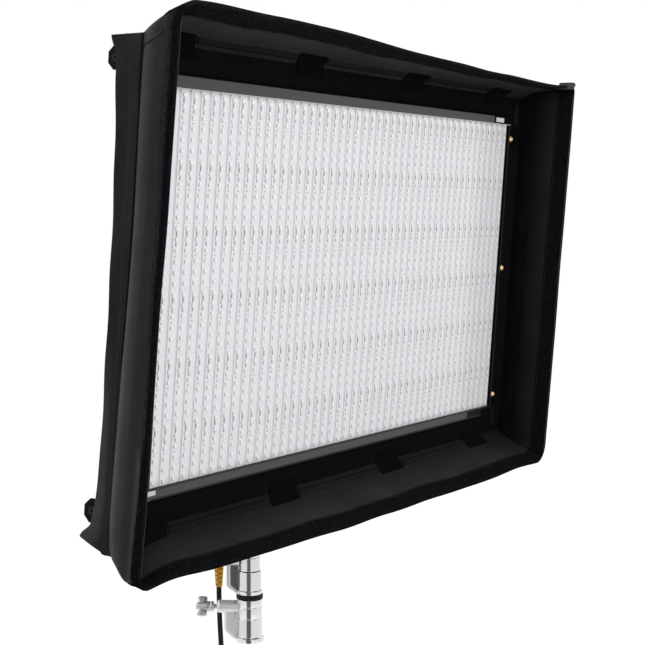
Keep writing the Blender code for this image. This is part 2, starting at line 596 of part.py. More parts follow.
comb = [(LED_HALF_W, BOARD_BACK), (-LED_HALF_W, BOARD_BACK)]
for number in range(STRIP_COUNT):
    middle = (number - (STRIP_COUNT - 1) / 2) * STRIP_PITCH
    half = STRIP_WIDTH / 2
    if number == 0:
        comb.append((-LED_HALF_W, STRIP_RAISE))
    comb += [(middle - half, STRIP_RAISE), (middle - half, 0.0), (middle + half, 0.0), (middle + half, STRIP_RAISE)]
comb.append((LED_HALF_W, STRIP_RAISE))
prism("led_board", comb, -LED_HALF_H, LED_HALF_H, "z", BOARD_WHITE, head)
prism("back_panel", box_outline(-IN_HALF_W + GAP, IN_HALF_W - GAP, -IN_HALF_H + GAP, IN_HALF_H - GAP),
      PANEL_FRONT, PANEL_BACK, "y", PANEL_ALU, head)
channel = box_outline(-CHANNEL_PROUD, BOARD_BACK, LED_HALF_H + GAP, IN_HALF_H - GAP, RAIL_CHAMFER)
prism("channel_top", channel, -LED_HALF_W, LED_HALF_W, "x", CHANNEL_GREY, head)
prism("channel_bottom", [(y, -z) for y, z in channel], -LED_HALF_W, LED_HALF_W, "x", CHANNEL_GREY, head)
edge_outline = box_outline(LED_HALF_W + GAP, IN_HALF_W - GAP, -EDGE_PROUD, BOARD_BACK, RAIL_CHAMFER)
prism("edge_right", edge_outline, -IN_HALF_H + GAP, IN_HALF_H - GAP, "z", FRAME_BLACK, head)
prism("edge_left", [(-x, y) for x, y in edge_outline], -IN_HALF_H + GAP, IN_HALF_H - GAP, "z", FRAME_BLACK, head)

CROSSBAR_BACK = PANEL_BACK + GAP + CROSSBAR_DEPTH
hollow("rear_crossbar", PANEL_BACK + GAP, CROSSBAR_BACK, -CROSSBAR_HEIGHT / 2, CROSSBAR_HEIGHT / 2,
       -RAIL_END, RAIL_END, "x", FRAME_BLACK, head)
EAR_FRONT = CROSSBAR_BACK + GAP
ear_outline = [(EAR_FRONT, -CROSSBAR_HEIGHT / 2)]
for i in range(13):
    angle = -math.pi / 2 + math.pi * i / 12
    ear_outline.append((PIVOT_BEHIND + EAR_RADIUS * math.cos(angle), EAR_RADIUS * math.sin(angle)))
ear_outline.append((EAR_FRONT, CROSSBAR_HEIGHT / 2))
for side, sign in (("left", -1), ("right", 1)):
    near, far = sorted((sign * EAR_INNER, sign * EAR_OUTER))
    drilled("tilt_ear_" + side, ear_outline, (PIVOT_BEHIND, 0.0), HOLE, near, far, "x", FRAME_BLACK, head)
rod("head_socket", SOCKET_RADIUS, EAR_FRONT, EAR_FRONT + SOCKET_LENGTH, "y", STEEL_DARK,
    (-KNOB_OFFSET, 0.0, 0.0), head)

LUG_FRONT = RAIL_BACK + GAP
for level, up in (("top", 1), ("bottom", -1)):
    outer = OUT_HALF_H - LUG_EDGE
    plate = [(LUG_FRONT, outer - LUG_HEIGHT), (LUG_FRONT + LUG_REACH - LUG_CHAMFER, outer - LUG_HEIGHT),
             (LUG_FRONT + LUG_REACH, outer - LUG_HEIGHT + LUG_CHAMFER),
             (LUG_FRONT + LUG_REACH, outer - LUG_CHAMFER), (LUG_FRONT + LUG_REACH - LUG_CHAMFER, outer),
             (LUG_FRONT, outer)]
    plate = [(y, up * z) for y, z in plate]
    eye = (LUG_FRONT + LUG_REACH * 0.6, up * (outer - LUG_HEIGHT / 2))
    for side, sign in (("left", -1), ("right", 1)):
        near, far = sorted((sign * (OUT_HALF_W - LUG_INSET), sign * (OUT_HALF_W - LUG_INSET - LUG_THICKNESS)))
        drilled("lug_" + level + "_" + side, plate, eye, LUG_HOLE, near, far, "x", FRAME_BLACK, head)

# Fabric hood: every wall is read from one flared, sagging, slightly turned box
ROLL = math.radians(HOOD_ROLL)
SIDES = {"top": (1, TOP_BOW, TOP_PEAK), "bottom": (-1, BOTTOM_BOW, BOTTOM_PEAK), "left": (-1, SIDE_BOW, 0.0),
         "right": (1, SIDE_BOW, 0.0)}


def hood(side, t, share, out):
    """Point of the hood: t from -1 to 1 along a side, share 0 at the sleeve to 1 at the front edge."""
    sign, bow, peak = SIDES[side]
    swell = BULGE * math.sin(math.pi * min(share, 1.0))
    grow = swell + out - CORNER_DRAW * share * t ** 8
    half_w = SLEEVE_HALF_W + FLARE_SIDE * share + grow
    up = SLEEVE_HALF_H + FLARE_TOP * share + grow
    down = SLEEVE_HALF_H + FLARE_BOTTOM * share + grow
    belly = bow * share * math.exp(-((t - peak) / BELLY_SHARE) ** 2) * (1 - t ** 4)
    if side == "top":
        x, z = t * half_w, up + belly
    elif side == "bottom":
        x, z = t * half_w, -down - belly
    else:
        x, z = sign * (half_w + belly), (up - down) / 2 + t * (up + down) / 2
    turn = ROLL * share
    return (x * math.cos(turn) + z * math.sin(turn),
            FOLD_Y + (EDGE_Y - FOLD_Y) * share,
            z * math.cos(turn) - x * math.sin(turn) - HOOD_SAG * share)


def along_hood(name, side, profile, steps, mat):
    """A (share, out) profile carried along one side, its ends mitred against the neighbours."""
    limit = 1 - GAP / SLEEVE_HALF_H
    verts = []
    for i in range(steps + 1):
        t = limit * (2 * i / steps - 1)
        verts += [hood(side, t, share, out) for share, out in profile]
    count = len(profile)
    faces = [tuple(range(count)), tuple(range(steps * count, (steps + 1) * count))]
    for i in range(steps):
        for k in range(count):
            after = (k + 1) % count
            faces.append((i * count + k, i * count + after, (i + 1) * count + after, (i + 1) * count + k))
    return solid(name, verts, faces, mat, head)


lip = WALL_SHARE + (1 - WALL_SHARE) * GAP / (BAND_THICKNESS + GAP)
inside = -CLOTH - GAP
for side, steps, width in (("top", 28, BAND_LONG), ("bottom", 28, BAND_LONG), ("left", 16, BAND_SHORT),
                           ("right", 16, BAND_SHORT)):
    start = 1 - width / (HOOD_DEPTH + FOLD_Y)
    bare = [start * i / 4 for i in range(4)]
    taped = [start + (WALL_SHARE - start) * i / 3 for i in range(3)]
    levels = bare + taped + [WALL_SHARE]
    wall_profile = [(s, 0.0) for s in levels] + [(s, -CLOTH) for s in reversed(levels)]
    along_hood("wall_" + side, side, wall_profile, steps, CLOTH_BLACK)
    band_profile = [(s, GAP) for s in taped] + [(lip, GAP), (lip, inside)]
    band_profile += [(s, inside) for s in reversed(taped)]
    band_profile += [(s, inside - BAND_THICKNESS) for s in taped] + [(1.0, inside - BAND_THICKNESS)]
    band_profile += [(1.0, GAP + BAND_THICKNESS)] + [(s, GAP + BAND_THICKNESS) for s in reversed(taped)]
    along_hood("loop_band_" + side, side, band_profile, steps, LOOP_BLACK)

# Sleeve round the rails, with a tip behind each corner
stations = [math.sin(math.pi / 2 * (i / 10 - 1)) for i in range(21)]
ring = []
for t in stations[:-1]:
    ring.append((t, -1.0))
for t in stations[:-1]:
    ring.append((1.0, t))
for t in stations[:-1]:
    ring.append((-t, 1.0))
for t in stations[:-1]:
    ring.append((-1.0, -t))
skirt_front = FOLD_Y + GAP
skirt_verts = []
for tx, tz in ring:
    off_corner = min((1 - abs(tx)) * SLEEVE_HALF_W if abs(tz) == 1.0 else (1 - abs(tz)) * SLEEVE_HALF_H, 1.0)
    back = RAIL_BACK + SKIRT_BACK + SKIRT_TIP * math.exp(-(off_corner / SKIRT_TIP_WIDTH) ** 2)
    for inset, y in ((0.0, skirt_front), (0.0, back), (CLOTH, back), (CLOTH, skirt_front)):
        skirt_verts.append((tx * (SLEEVE_HALF_W - inset), y, tz * (SLEEVE_HALF_H - inset)))
skirt_faces = []
for i in range(len(ring)):
    j = (i + 1) % len(ring)
    for k in range(4):
        after = (k + 1) % 4
        skirt_faces.append((4 * i + k, 4 * i + after, 4 * j + after, 4 * j + k))
solid("skirt", skirt_verts, skirt_faces, CLOTH_BLACK, head)

# Hook tabs on the front face of the top and bottom rails
tab_back = RAIL_FRONT - GAP
tab_top = OUT_HALF_H - RAIL_CHAMFER
for level, up in (("top", 1), ("bottom", -1)):
    for number in range(TAB_COUNT):
        middle = TAB_SHIFT + (OUT_HALF_W - TAB_INSET) * (2 * number / (TAB_COUNT - 1) - 1)
        low, high = sorted((up * (tab_top - TAB_REACH), up * tab_top))
        prism("hook_tab_" + level + "_" + str(number + 1),
              box_outline(middle - TAB_WIDTH / 2, middle + TAB_WIDTH / 2, low, high, TAB_THICKNESS),
              tab_back - TAB_THICKNESS, tab_back, "y", LOOP_BLACK, head)
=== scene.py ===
# %% [markdown]
# # LED panel in a shallow fabric hood, on the top collars of a light stand
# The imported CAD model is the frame: every piece below is in metres in the same axes and rides on one of its
# bodies. Rigid solids keep their CAD shape and get a finish; soft ones are replaced by sewn forms, and the
# castings by smoother ones.

# %% Load the frame
import math

import bmesh
import bpy
import numpy as np
from mathutils import Matrix, Vector


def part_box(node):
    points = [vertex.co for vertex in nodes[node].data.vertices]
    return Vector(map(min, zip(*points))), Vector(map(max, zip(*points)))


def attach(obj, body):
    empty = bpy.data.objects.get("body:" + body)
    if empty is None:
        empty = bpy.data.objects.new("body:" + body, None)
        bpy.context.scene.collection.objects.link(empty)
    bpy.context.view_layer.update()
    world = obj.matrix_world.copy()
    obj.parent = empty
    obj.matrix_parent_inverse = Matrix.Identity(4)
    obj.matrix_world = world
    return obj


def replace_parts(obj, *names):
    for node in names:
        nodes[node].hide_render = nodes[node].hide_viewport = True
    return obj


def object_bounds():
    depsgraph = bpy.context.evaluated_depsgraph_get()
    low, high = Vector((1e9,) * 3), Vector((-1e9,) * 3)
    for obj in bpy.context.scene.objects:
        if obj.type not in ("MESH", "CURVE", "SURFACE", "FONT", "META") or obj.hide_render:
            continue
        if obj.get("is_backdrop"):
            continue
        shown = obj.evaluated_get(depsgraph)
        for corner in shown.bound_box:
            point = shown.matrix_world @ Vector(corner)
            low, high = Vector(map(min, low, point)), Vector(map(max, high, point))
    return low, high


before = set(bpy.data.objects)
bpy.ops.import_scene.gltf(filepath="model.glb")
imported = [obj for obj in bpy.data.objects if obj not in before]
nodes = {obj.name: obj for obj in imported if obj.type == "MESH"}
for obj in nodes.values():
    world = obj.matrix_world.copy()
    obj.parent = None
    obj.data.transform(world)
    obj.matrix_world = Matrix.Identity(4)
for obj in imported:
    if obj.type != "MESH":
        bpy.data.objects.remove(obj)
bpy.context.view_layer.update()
scene = bpy.context.scene

# %% [markdown]
# ## Shared sizes
# The head leans forward by the tilt angle. Points of the head are written in its own axes, from the centre of
# the LED field (x right, y back, z up), and turned into the row frame by `on_head`. That keeps each formula in
# plain rectangles, although nothing on the tilted head is parallel to the row axes.

# %% Sizes shared by several pieces
TILT = math.radians(4.28)
FIELD = (0.0, -0.238, 0.699)
HALF_W, HALF_H = 0.5842, 0.300
OUT_W, OUT_H = 0.6517, 0.3665
RAIL_FRONT, RAIL_BACK = -0.004, 0.032
PANEL_BACK = 0.0063
GAP, CLOTH, TAPE = 0.0003, 0.0025, 0.0016
SLEEVE_W, SLEEVE_H = OUT_W + 0.0031, OUT_H + 0.0031
FOLD_Y, EDGE_Y = -0.0043, -0.096


def on_head(points):
    """Head coordinates to the row frame: turned about X by the tilt, then moved to the LED field."""
    p = np.asarray(points, float)
    c, s = math.cos(TILT), math.sin(TILT)
    x, y, z = p[..., 0], p[..., 1], p[..., 2]
    return np.stack([x + FIELD[0], FIELD[1] + c * y - s * z, FIELD[2] + s * y + c * z], -1)


# %% [markdown]
# ## Mesh tools
# A surface is a grid of points, so its faces are always the same pattern of squares. The grid can be closed in
# one or both directions, as on a turned part or a ring. Where rows shrink to a point, the doubled corners are
# merged and the squares there become triangles, which closes the pole.


# %% Mesh tools
def quads_of(rows, cols, wrap_rows=False, wrap_cols=False):
    """Corner numbers of the squares of a rows x cols grid of points."""
    i, j = np.meshgrid(np.arange(rows if wrap_rows else rows - 1), np.arange(cols if wrap_cols else cols - 1),
                       indexing="ij")
    a, b = (i + 1) % rows, (j + 1) % cols
    return np.stack([i * cols + j, a * cols + j, a * cols + b, i * cols + b], -1).reshape(-1, 4)


def joined(*shells):
    """Several (points, faces) shells as one pair of arrays."""
    points, faces, base = [], [], 0
    for verts, quads in shells:
        verts = np.reshape(verts, (-1, 3))
        points.append(verts)
        faces.append(np.asarray(quads) + base)
        base += len(verts)
    return np.concatenate(points), np.concatenate(faces)


def piece(name, verts, quads, mat, body, slot, uv=None, smooth=True, marks=None):
    """A mesh from an array of points and an array of four-cornered faces, riding on a body."""
    verts = np.ascontiguousarray(np.reshape(verts, (-1, 3)), np.float32)
    quads = np.ascontiguousarray(quads, np.int32)
    mesh = bpy.data.meshes.new(name)
    mesh.vertices.add(len(verts))
    mesh.vertices.foreach_set("co", verts.ravel())
    mesh.loops.add(quads.size)
    mesh.loops.foreach_set("vertex_index", quads.ravel())
    mesh.polygons.add(len(quads))
    mesh.polygons.foreach_set("loop_start", np.arange(0, quads.size, 4, dtype=np.int32))
    mesh.update(calc_edges=True)
    if uv is not None:
        flat = np.ascontiguousarray(np.reshape(uv, (-1, 2)), np.float32)[quads.ravel()]
        mesh.uv_layers.new(name="UVMap").data.foreach_set("uv", flat.ravel())
    for key, values in (marks or {}).items():
        mesh.attributes.new(key, "FLOAT", "POINT").data.foreach_set("value", np.asarray(values, np.float32).ravel())
    form = bmesh.new()
    form.from_mesh(mesh)
    bmesh.ops.remove_doubles(form, verts=form.verts, dist=1e-6)
    bmesh.ops.recalc_face_normals(form, faces=form.faces)
    form.to_mesh(mesh)
    form.free()
    mesh.polygons.foreach_set("use_smooth", np.full(len(mesh.polygons), smooth))
    mesh.materials.append(mat)
    obj = bpy.data.objects.new(name, mesh)
    scene.collection.objects.link(obj)
    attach(obj, body)
    return obj


def blocks(centres, size, bevel=0.0):
    """Many small blocks at once: eight corners each, drawn in at the front so that the top edge is softened."""
    centres = np.reshape(centres, (-1, 3))
    sx = np.array([-1, 1, 1, -1, -1, 1, 1, -1]) / 2
    sy = np.array([-1, -1, -1, -1, 1, 1, 1, 1]) / 2
    sz = np.array([-1, -1, 1, 1, -1, -1, 1, 1]) / 2
    draw = np.where(sy < 0, bevel, 0.0)
    corner = np.stack([sx * size[0] - np.sign(sx) * draw, sy * size[1], sz * size[2] - np.sign(sz) * draw], -1)
    return centres[:, None] + corner, block_faces(len(centres))


def block_faces(count):
    """The six sides of each of many eight-cornered blocks."""
    sides = np.array([[0, 1, 2, 3], [4, 7, 6, 5], [0, 4, 5, 1], [1, 5, 6, 2], [2, 6, 7, 3], [3, 7, 4, 0]])
    return (sides[None] + 8 * np.arange(count)[:, None, None]).reshape(-1, 4)


def softened(points, radius=0.0006, steps=3, closed=False):
    """Each corner of a line becomes a quadratic arc that leaves both edges at the same distance."""
    p = np.asarray(points, float)
    before, after = np.roll(p, 1, 0), np.roll(p, -1, 0)
    a, b = before - p, after - p
    la, lb = np.linalg.norm(a, axis=1, keepdims=True), np.linalg.norm(b, axis=1, keepdims=True)
    cut = np.minimum(radius, 0.45 * np.minimum(la, lb))
    t = np.linspace(0, 1, steps + 1)[None, :, None]
    enter, leave = (p + a / la * cut)[:, None], (p + b / lb * cut)[:, None]
    arc = (1 - t) ** 2 * enter + 2 * t * (1 - t) * p[:, None] + t * t * leave
    if closed:
        return arc.reshape(-1, 2)
    return np.concatenate([p[:1], arc[1:-1].reshape(-1, 2), p[-1:]])


def turned(profile, steps=96, closed=False):
    """A (radius, height) profile turned about Z: every profile point becomes one ring of points."""
    r, h = np.asarray(profile, float).T
    a = 2 * np.pi * np.arange(steps) / steps
    verts = np.stack([r[:, None] * np.cos(a), r[:, None] * np.sin(a), np.repeat(h[:, None], steps, 1)], -1)
    return verts, quads_of(len(r), steps, closed, True)


def slab(outline, half, edge, steps=4):
    """A plate with rounded rims: the outline is carried across the thickness and drawn in near both faces."""
    p = np.asarray(outline, float)
    tangent = np.roll(p, -1, 0) - np.roll(p, 1, 0)
    inward = np.stack([-tangent[:, 1], tangent[:, 0]], -1) / np.linalg.norm(tangent, axis=1, keepdims=True)
    if np.sum(p[:, 0] * np.roll(p[:, 1], -1) - p[:, 1] * np.roll(p[:, 0], -1)) < 0:
        inward = -inward
    a = np.linspace(0, np.pi / 2, steps + 1)
    level = np.concatenate([-(half - edge) - edge * np.cos(a), (half - edge) + edge * np.cos(a[::-1])])
    inset = np.concatenate([edge * (1 - np.sin(a)), edge * (1 - np.sin(a[::-1]))])
    ring = p[None] + inset[:, None, None] * inward[None]
    middle = np.broadcast_to(p.mean(0), (1,) + p.shape)
    ring = np.concatenate([middle, ring, middle])
    level = np.concatenate([level[:1], level, level[-1:]])
    verts = np.stack([ring[..., 0], np.broadcast_to(level[:, None], ring.shape[:2]), ring[..., 1]], -1)
    return verts, quads_of(len(level), len(p), False, True)


def moved(shell, matrix):
    """A (points, faces) shell turned and moved by a 4 x 4 matrix."""
    m = np.asarray(matrix)
    return np.reshape(shell[0], (-1, 3)) @ m[:3, :3].T + m[:3, 3], shell[1]


# %% [markdown]
# ## Camera
# Fitted to the grid of LEDs: a long lens well left of the panel, level with its upper half, looking slightly
# down. The lens axis meets the picture above its middle, so the frame is shifted down and the uprights keep
# their gentle convergence.

# %% Camera
YAW, DIP = math.radians(58.28), math.radians(1.8)
EYE = (-2.3469, -1.6129, 0.8082)
right = Vector((math.cos(YAW), -math.sin(YAW), 0.0))
ahead = Vector((math.cos(DIP) * math.sin(YAW), math.cos(DIP) * math.cos(YAW), -math.sin(DIP)))
upward = right.cross(ahead)
camera = bpy.data.objects.new("camera", bpy.data.cameras.new("camera"))
scene.collection.objects.link(camera)
turn = Matrix((right, upward, -ahead)).transposed().to_4x4()
camera.matrix_world = Matrix.Translation(EYE) @ turn
camera.data.sensor_width = 36.0
camera.data.lens = 84.37
camera.data.shift_y = -0.0938
camera.data.clip_end = 100.0
scene.camera = camera
print("camera %.2f m from the LED field" % (Vector(EYE) - Vector(FIELD)).length)

# %% [markdown]
# ## Node tools
# A material is a small graph. `Graph.add` makes a node, sets its options and fills its inputs: a socket is
# linked, anything else is written as the value. Effects that several materials share are node groups that give
# out masks and heights; the shader itself stays in the material.


# %% Node tools
class Graph:
    """Short notation for a shader node tree."""

    def __init__(self, tree):
        self.tree = tree

    def fill(self, made, inputs):
        for key, value in inputs.items():
            if isinstance(value, bpy.types.NodeSocket):
                self.tree.links.new(value, made.inputs[key])
            else:
                made.inputs[key].default_value = value
        return made

    def add(self, kind, inputs=None, **options):
        made = self.tree.nodes.new(kind)
        for key, value in options.items():
            setattr(made, key, value)
        return self.fill(made, inputs or {})

    def use(self, group, inputs):
        return self.fill(self.add("ShaderNodeGroup", node_tree=group), inputs)

    def math(self, operation, a, b=0.0, clamp=False):
        return self.add("ShaderNodeMath", {0: a, 1: b}, operation=operation, use_clamp=clamp).outputs[0]

    def noise(self, vector, scale, detail=3.0, rough=0.55):
        return self.add("ShaderNodeTexNoise", {"Vector": vector, "Scale": scale, "Detail": detail,
                                               "Roughness": rough}).outputs["Fac"]

    def ramp(self, value, stops):
        made = self.add("ShaderNodeValToRGB", {"Fac": value})
        while len(made.color_ramp.elements) < len(stops):
            made.color_ramp.elements.new(0.5)
        for element, (place, colour) in zip(made.color_ramp.elements, stops):
            element.position = place
            element.color = (*colour, 1.0) if hasattr(colour, "__len__") else (colour, colour, colour, 1.0)
        return made.outputs["Color"]

    def mix(self, factor, a, b):
        pair = {6: a, 7: b}
        pair = {k: v if isinstance(v, bpy.types.NodeSocket) else (*v, 1.0) for k, v in pair.items()}
        return self.add("ShaderNodeMix", {0: factor, **pair}, data_type="RGBA").outputs[2]

    def bump(self, height, strength, distance):
        return self.add("ShaderNodeBump", {"Height": height, "Strength": strength, "Distance": distance}).outputs[0]

    # A colour scaled by the painted shade and highlight of the attribute 'shade', and the factor used.
    def shaded(self, tone, depth=0.88):
        keep = self.use(painted_shading, {"Depth": depth}).outputs["Keep"]
        return self.add("ShaderNodeVectorMath", {0: tone, "Scale": keep}, operation="SCALE").outputs[0], keep

    def place(self, kind="Object"):
        return self.add("ShaderNodeTexCoord").outputs[kind]

    def link(self, out, into):
        self.tree.links.new(out, into)


def material(name, **constants):
    """A Principled material; constants are written on the shader's own sockets."""
    mat = bpy.data.materials.new(name)
    mat.use_nodes = True
    shader = mat.node_tree.nodes["Principled BSDF"]
    for key, value in constants.items():
        shader.inputs[key.replace("_", " ")].default_value = value
    return mat, Graph(mat.node_tree), shader


def new_group(name, inputs, outputs):
    """An empty shader node group with named sockets."""
    tree = bpy.data.node_groups.new(name, "ShaderNodeTree")
    for label, kind in inputs:
        tree.interface.new_socket(name=label, in_out="INPUT", socket_type="NodeSocket" + kind)
    for label in outputs:
        tree.interface.new_socket(name=label, in_out="OUTPUT", socket_type="NodeSocketFloat")
    graph = Graph(tree)
    return tree, graph, graph.add("NodeGroupInput").outputs, graph.add("NodeGroupOutput").inputs


# %% [markdown]
# ## Shared effects
# - plain weave: two crossed sine ridges, one over one under, on UVs written in metres
# - mottle: two sizes of noise, for dust, handling and uneven dye
# - painted fold shade: how much of its colour cloth keeps; the attribute `shade` is painted shade, 1 deep in a fold,
#   and a painted highlight below 0 on a crest

# %% Shared effects
weave, g, enter, leave = new_group("plain_weave", [("UV", "Vector"), ("Threads", "Float")], ["Height", "Thread"])
split = g.add("ShaderNodeSeparateXYZ", {0: enter["UV"]}).outputs
warp, weft = (g.math("MULTIPLY", split[k], enter["Threads"]) for k in (0, 1))
ridges = [g.math("ABSOLUTE", g.math("SINE", g.math("MULTIPLY", v, math.pi))) for v in (warp, weft)]
over = g.math("PINGPONG", g.math("ADD", g.math("FLOOR", warp), g.math("FLOOR", weft)), 1.0)
under = g.math("SUBTRACT", 1.0, over)
g.link(g.math("ADD", g.math("MULTIPLY", ridges[0], over), g.math("MULTIPLY", ridges[1], under)), leave["Height"])
g.link(over, leave["Thread"])

mottle, g, enter, leave = new_group("mottle", [("Vector", "Vector"), ("Coarse", "Float"), ("Fine", "Float")],
                                    ["Cloud", "Grain"])
g.link(g.noise(enter["Vector"], enter["Coarse"], 4.0), leave["Cloud"])
g.link(g.noise(enter["Vector"], enter["Fine"], 2.0), leave["Grain"])

# Painted shade and highlight: the colour keeps 1 minus depth times the attribute 'shade'.
painted_shading, g, enter, leave = new_group("painted_fold_shade", [("Depth", "Float")], ["Keep"])
marked = g.add("ShaderNodeAttribute", attribute_name="shade").outputs["Fac"]
g.link(g.math("SUBTRACT", 1.0, g.math("MULTIPLY", marked, enter["Depth"])), leave["Keep"])
print("node groups:", [tree.name for tree in (weave, mottle, painted_shading)])

# %% [markdown]
# ## Cloth and tape
# The hood is black nylon: a fine plain weave, faintly shiny, paler where it is dusty. Its front edge is bound
# with loop tape, which is a field of tiny fibres and almost swallows light, so its colour is broken up by cell
# noise instead of a weave.


# %% Cloth and tape materials
def cloth_material(name, colour, threads, rough, spec):
    """Plain weave with uneven dye; 'shade' paints shade in folds and a highlight on crests; the weave follows the UVs.
    """
    mat, g, shader = material(name, Roughness=rough)
    woven = g.use(weave, {"UV": g.place("UV"), "Threads": threads}).outputs
    dust = g.use(mottle, {"Vector": g.place(), "Coarse": 11.0, "Fine": 420.0}).outputs
    tone = g.mix(woven["Thread"], colour, tuple(0.70 * v for v in colour))
    pale = g.ramp(dust["Cloud"], [(0.40, 0.0), (0.75, 0.5)])
    tone, keep = g.shaded(g.mix(pale, tone, tuple(1.7 * v for v in colour)))
    g.link(tone, shader.inputs["Base Color"])
    # The gloss is cut by the same painted shade, so folds reflect less too.
    g.link(g.math("MULTIPLY", g.math("MINIMUM", keep, 1.0), spec), shader.inputs["Specular IOR Level"])
    relief = g.math("ADD", woven["Height"], g.math("MULTIPLY", dust["Grain"], 0.5))
    g.link(g.bump(relief, 0.35, 0.0002), shader.inputs["Normal"])
    return mat


def fibre_material(name, colour, fleck):
    """Loop or hook tape: flecks of light fibre between dark gaps, scaled by painted shade and highlight from 'shade'.
    """
    mat, g, shader = material(name, Roughness=0.95, Specular_IOR_Level=0.0)
    spot = g.place()
    fibre = g.use(mottle, {"Vector": spot, "Coarse": 240.0, "Fine": 1400.0}).outputs
    gaps = g.add("ShaderNodeTexVoronoi", {"Vector": spot, "Scale": 520.0}).outputs["Distance"]
    tone = g.mix(g.ramp(fibre["Cloud"], [(0.44, 0.0), (0.68, 1.0)]), colour, fleck)
    tone = g.mix(g.ramp(gaps, [(0.0, 0.0), (0.5, 0.5)]), tone, tuple(0.4 * v for v in colour))
    g.link(g.shaded(tone)[0], shader.inputs["Base Color"])
    g.link(g.bump(g.math("SUBTRACT", fibre["Grain"], gaps), 0.8, 0.0008), shader.inputs["Normal"])
    return mat


NYLON = cloth_material("nylon_black", (0.0150, 0.0150, 0.0158), 1250.0, 0.60, 0.06)
WEBBING = cloth_material("webbing_grey", (0.045, 0.046, 0.050), 700.0, 0.75, 0.10)
LOOP = fibre_material("loop_tape", (0.0085, 0.0086, 0.0100), (0.0250, 0.0255, 0.0300))
HOOK = fibre_material("hook_tape", (0.0056, 0.0056, 0.0062), (0.0100, 0.0100, 0.0108))
THREAD = cloth_material("thread_black", (0.012, 0.012, 0.013), 3000.0, 0.5, 0.2)
print("cloth materials:", NYLON.name, LOOP.name, HOOK.name)

# %% [markdown]
# ## Metal, paint, plastic and rubber
# Every hard finish is the same idea with other numbers: a slow drift of colour, uneven gloss and fine relief. The
# polished castings get most of their look from what they mirror.


# %% Hard materials
def hard_material(name, colour, rough, metal=0.0, coarse=40.0, fine=900.0, spread=0.25, bump=0.15, spec=0.5):
    """Colour drift, uneven gloss and fine relief."""
    mat, g, shader = material(name, Metallic=metal, Specular_IOR_Level=spec)
    skin = g.use(mottle, {"Vector": g.place(), "Coarse": coarse, "Fine": fine}).outputs
    dark, light = (tuple(min(1.0, f * v) for v in colour) for f in (1 - spread, 1 + spread))
    tone = g.mix(skin["Cloud"], dark, light)
    g.link(tone, shader.inputs["Base Color"])
    gloss = g.add("ShaderNodeMapRange", {0: skin["Cloud"], 3: max(0.03, rough - 0.08), 4: rough + 0.08})
    g.link(gloss.outputs[0], shader.inputs["Roughness"])
    g.link(g.bump(skin["Grain"], bump, 0.0001), shader.inputs["Normal"])
    return mat


FRAME = hard_material("frame_anodised", (0.0057, 0.0057, 0.0063), 0.55, spec=0.0)
LUG = hard_material("lug_plastic", (0.0045, 0.0045, 0.0050), 0.5, spec=0.05, bump=0.4)
YOKE = hard_material("yoke_paint", (0.020, 0.020, 0.021), 0.50, bump=0.3, spec=0.3)
CHANNEL = hard_material("channel_grey", (0.058, 0.058, 0.060), 0.45, spread=0.10, spec=0.08)
TRIM = hard_material("trim_grey", (0.024, 0.024, 0.026), 0.5, spec=0.04)
# A lighter copy of the channel grey for the bottom face: painted light.
CHANNEL_PAINTED_LIGHT = hard_material("channel_grey_painted_light", (0.074, 0.074, 0.076), 0.45, spread=0.10, spec=0.08)
PANEL = hard_material("panel_mill", (0.42, 0.42, 0.43), 0.45, 0.9, spread=0.08)
STEEL = hard_material("steel_dark", (0.11, 0.11, 0.115), 0.34, 1.0, spread=0.15)
ZINC = hard_material("screw_zinc", (0.50, 0.50, 0.51), 0.32, 1.0, spread=0.12)
BRASS = hard_material("brass", (0.70, 0.50, 0.25), 0.30, 1.0, spread=0.12)
RUBBER = hard_material("rubber_black", (0.010, 0.010, 0.010), 0.70, coarse=90.0, bump=0.3, spec=0.2)
PLASTIC = hard_material("plastic_black", (0.014, 0.014, 0.015), 0.48, coarse=60.0, fine=1800.0, bump=0.4, spec=0.3)
TAG = hard_material("tag_white", (0.62, 0.62, 0.63), 0.6, spread=0.04)


def cast_material(name, colour, rough, grain):
    """Cast metal with upright polishing marks; one mark paints a dark reflection on faces and dulls them, 'blast'
    marks matt and bright ones.
    """
    mat, g, shader = material(name, Metallic=1.0)
    spot = g.place()
    skin = g.use(mottle, {"Vector": spot, "Coarse": 55.0, "Fine": 650.0}).outputs
    streak = g.noise(g.add("ShaderNodeMapping", {"Vector": spot, "Scale": (900.0, 900.0, 25.0)}).outputs[0], 1.0)
    painted_dark_reflection, blast = (g.add("ShaderNodeAttribute", attribute_name=key).outputs["Fac"] for key in ("painted_dark_reflection", "blast"))
    drift = g.math("MULTIPLY", g.math("ADD", skin["Cloud"], streak), 0.5)
    tone = g.mix(drift, tuple(0.78 * v for v in colour), colour)
    # Painted dark reflection: marked faces take a dark blue-grey in place of the metal's colour.
    g.link(g.mix(painted_dark_reflection, tone, (0.135, 0.142, 0.155)), shader.inputs["Base Color"])
    matt = g.math("ADD", g.math("MULTIPLY", painted_dark_reflection, 0.25), g.math("MULTIPLY", blast, 0.40))
    gloss = g.math("ADD", g.math("MULTIPLY", streak, 0.16), matt)
    g.link(g.math("ADD", gloss, rough), shader.inputs["Roughness"])
    g.link(g.bump(g.math("ADD", skin["Grain"], streak), grain, 0.00015), shader.inputs["Normal"])
    return mat


CAST = cast_material("cast_polished", (0.77, 0.76, 0.75), 0.05, 0.25)
CAST_GREY = cast_material("cast_tumbled", (0.56, 0.555, 0.55), 0.28, 0.6)
print("hard materials ready")

# %% [markdown]
# ## Cord
# A black round cord leaves the yellow boot straight down, drifts slowly to one side and ends in an inline
# coupler. The centreline is the CAD route again: a half cosine, so that both ends hang plumb. A curve with a
# round bevel is the simplest true tube.

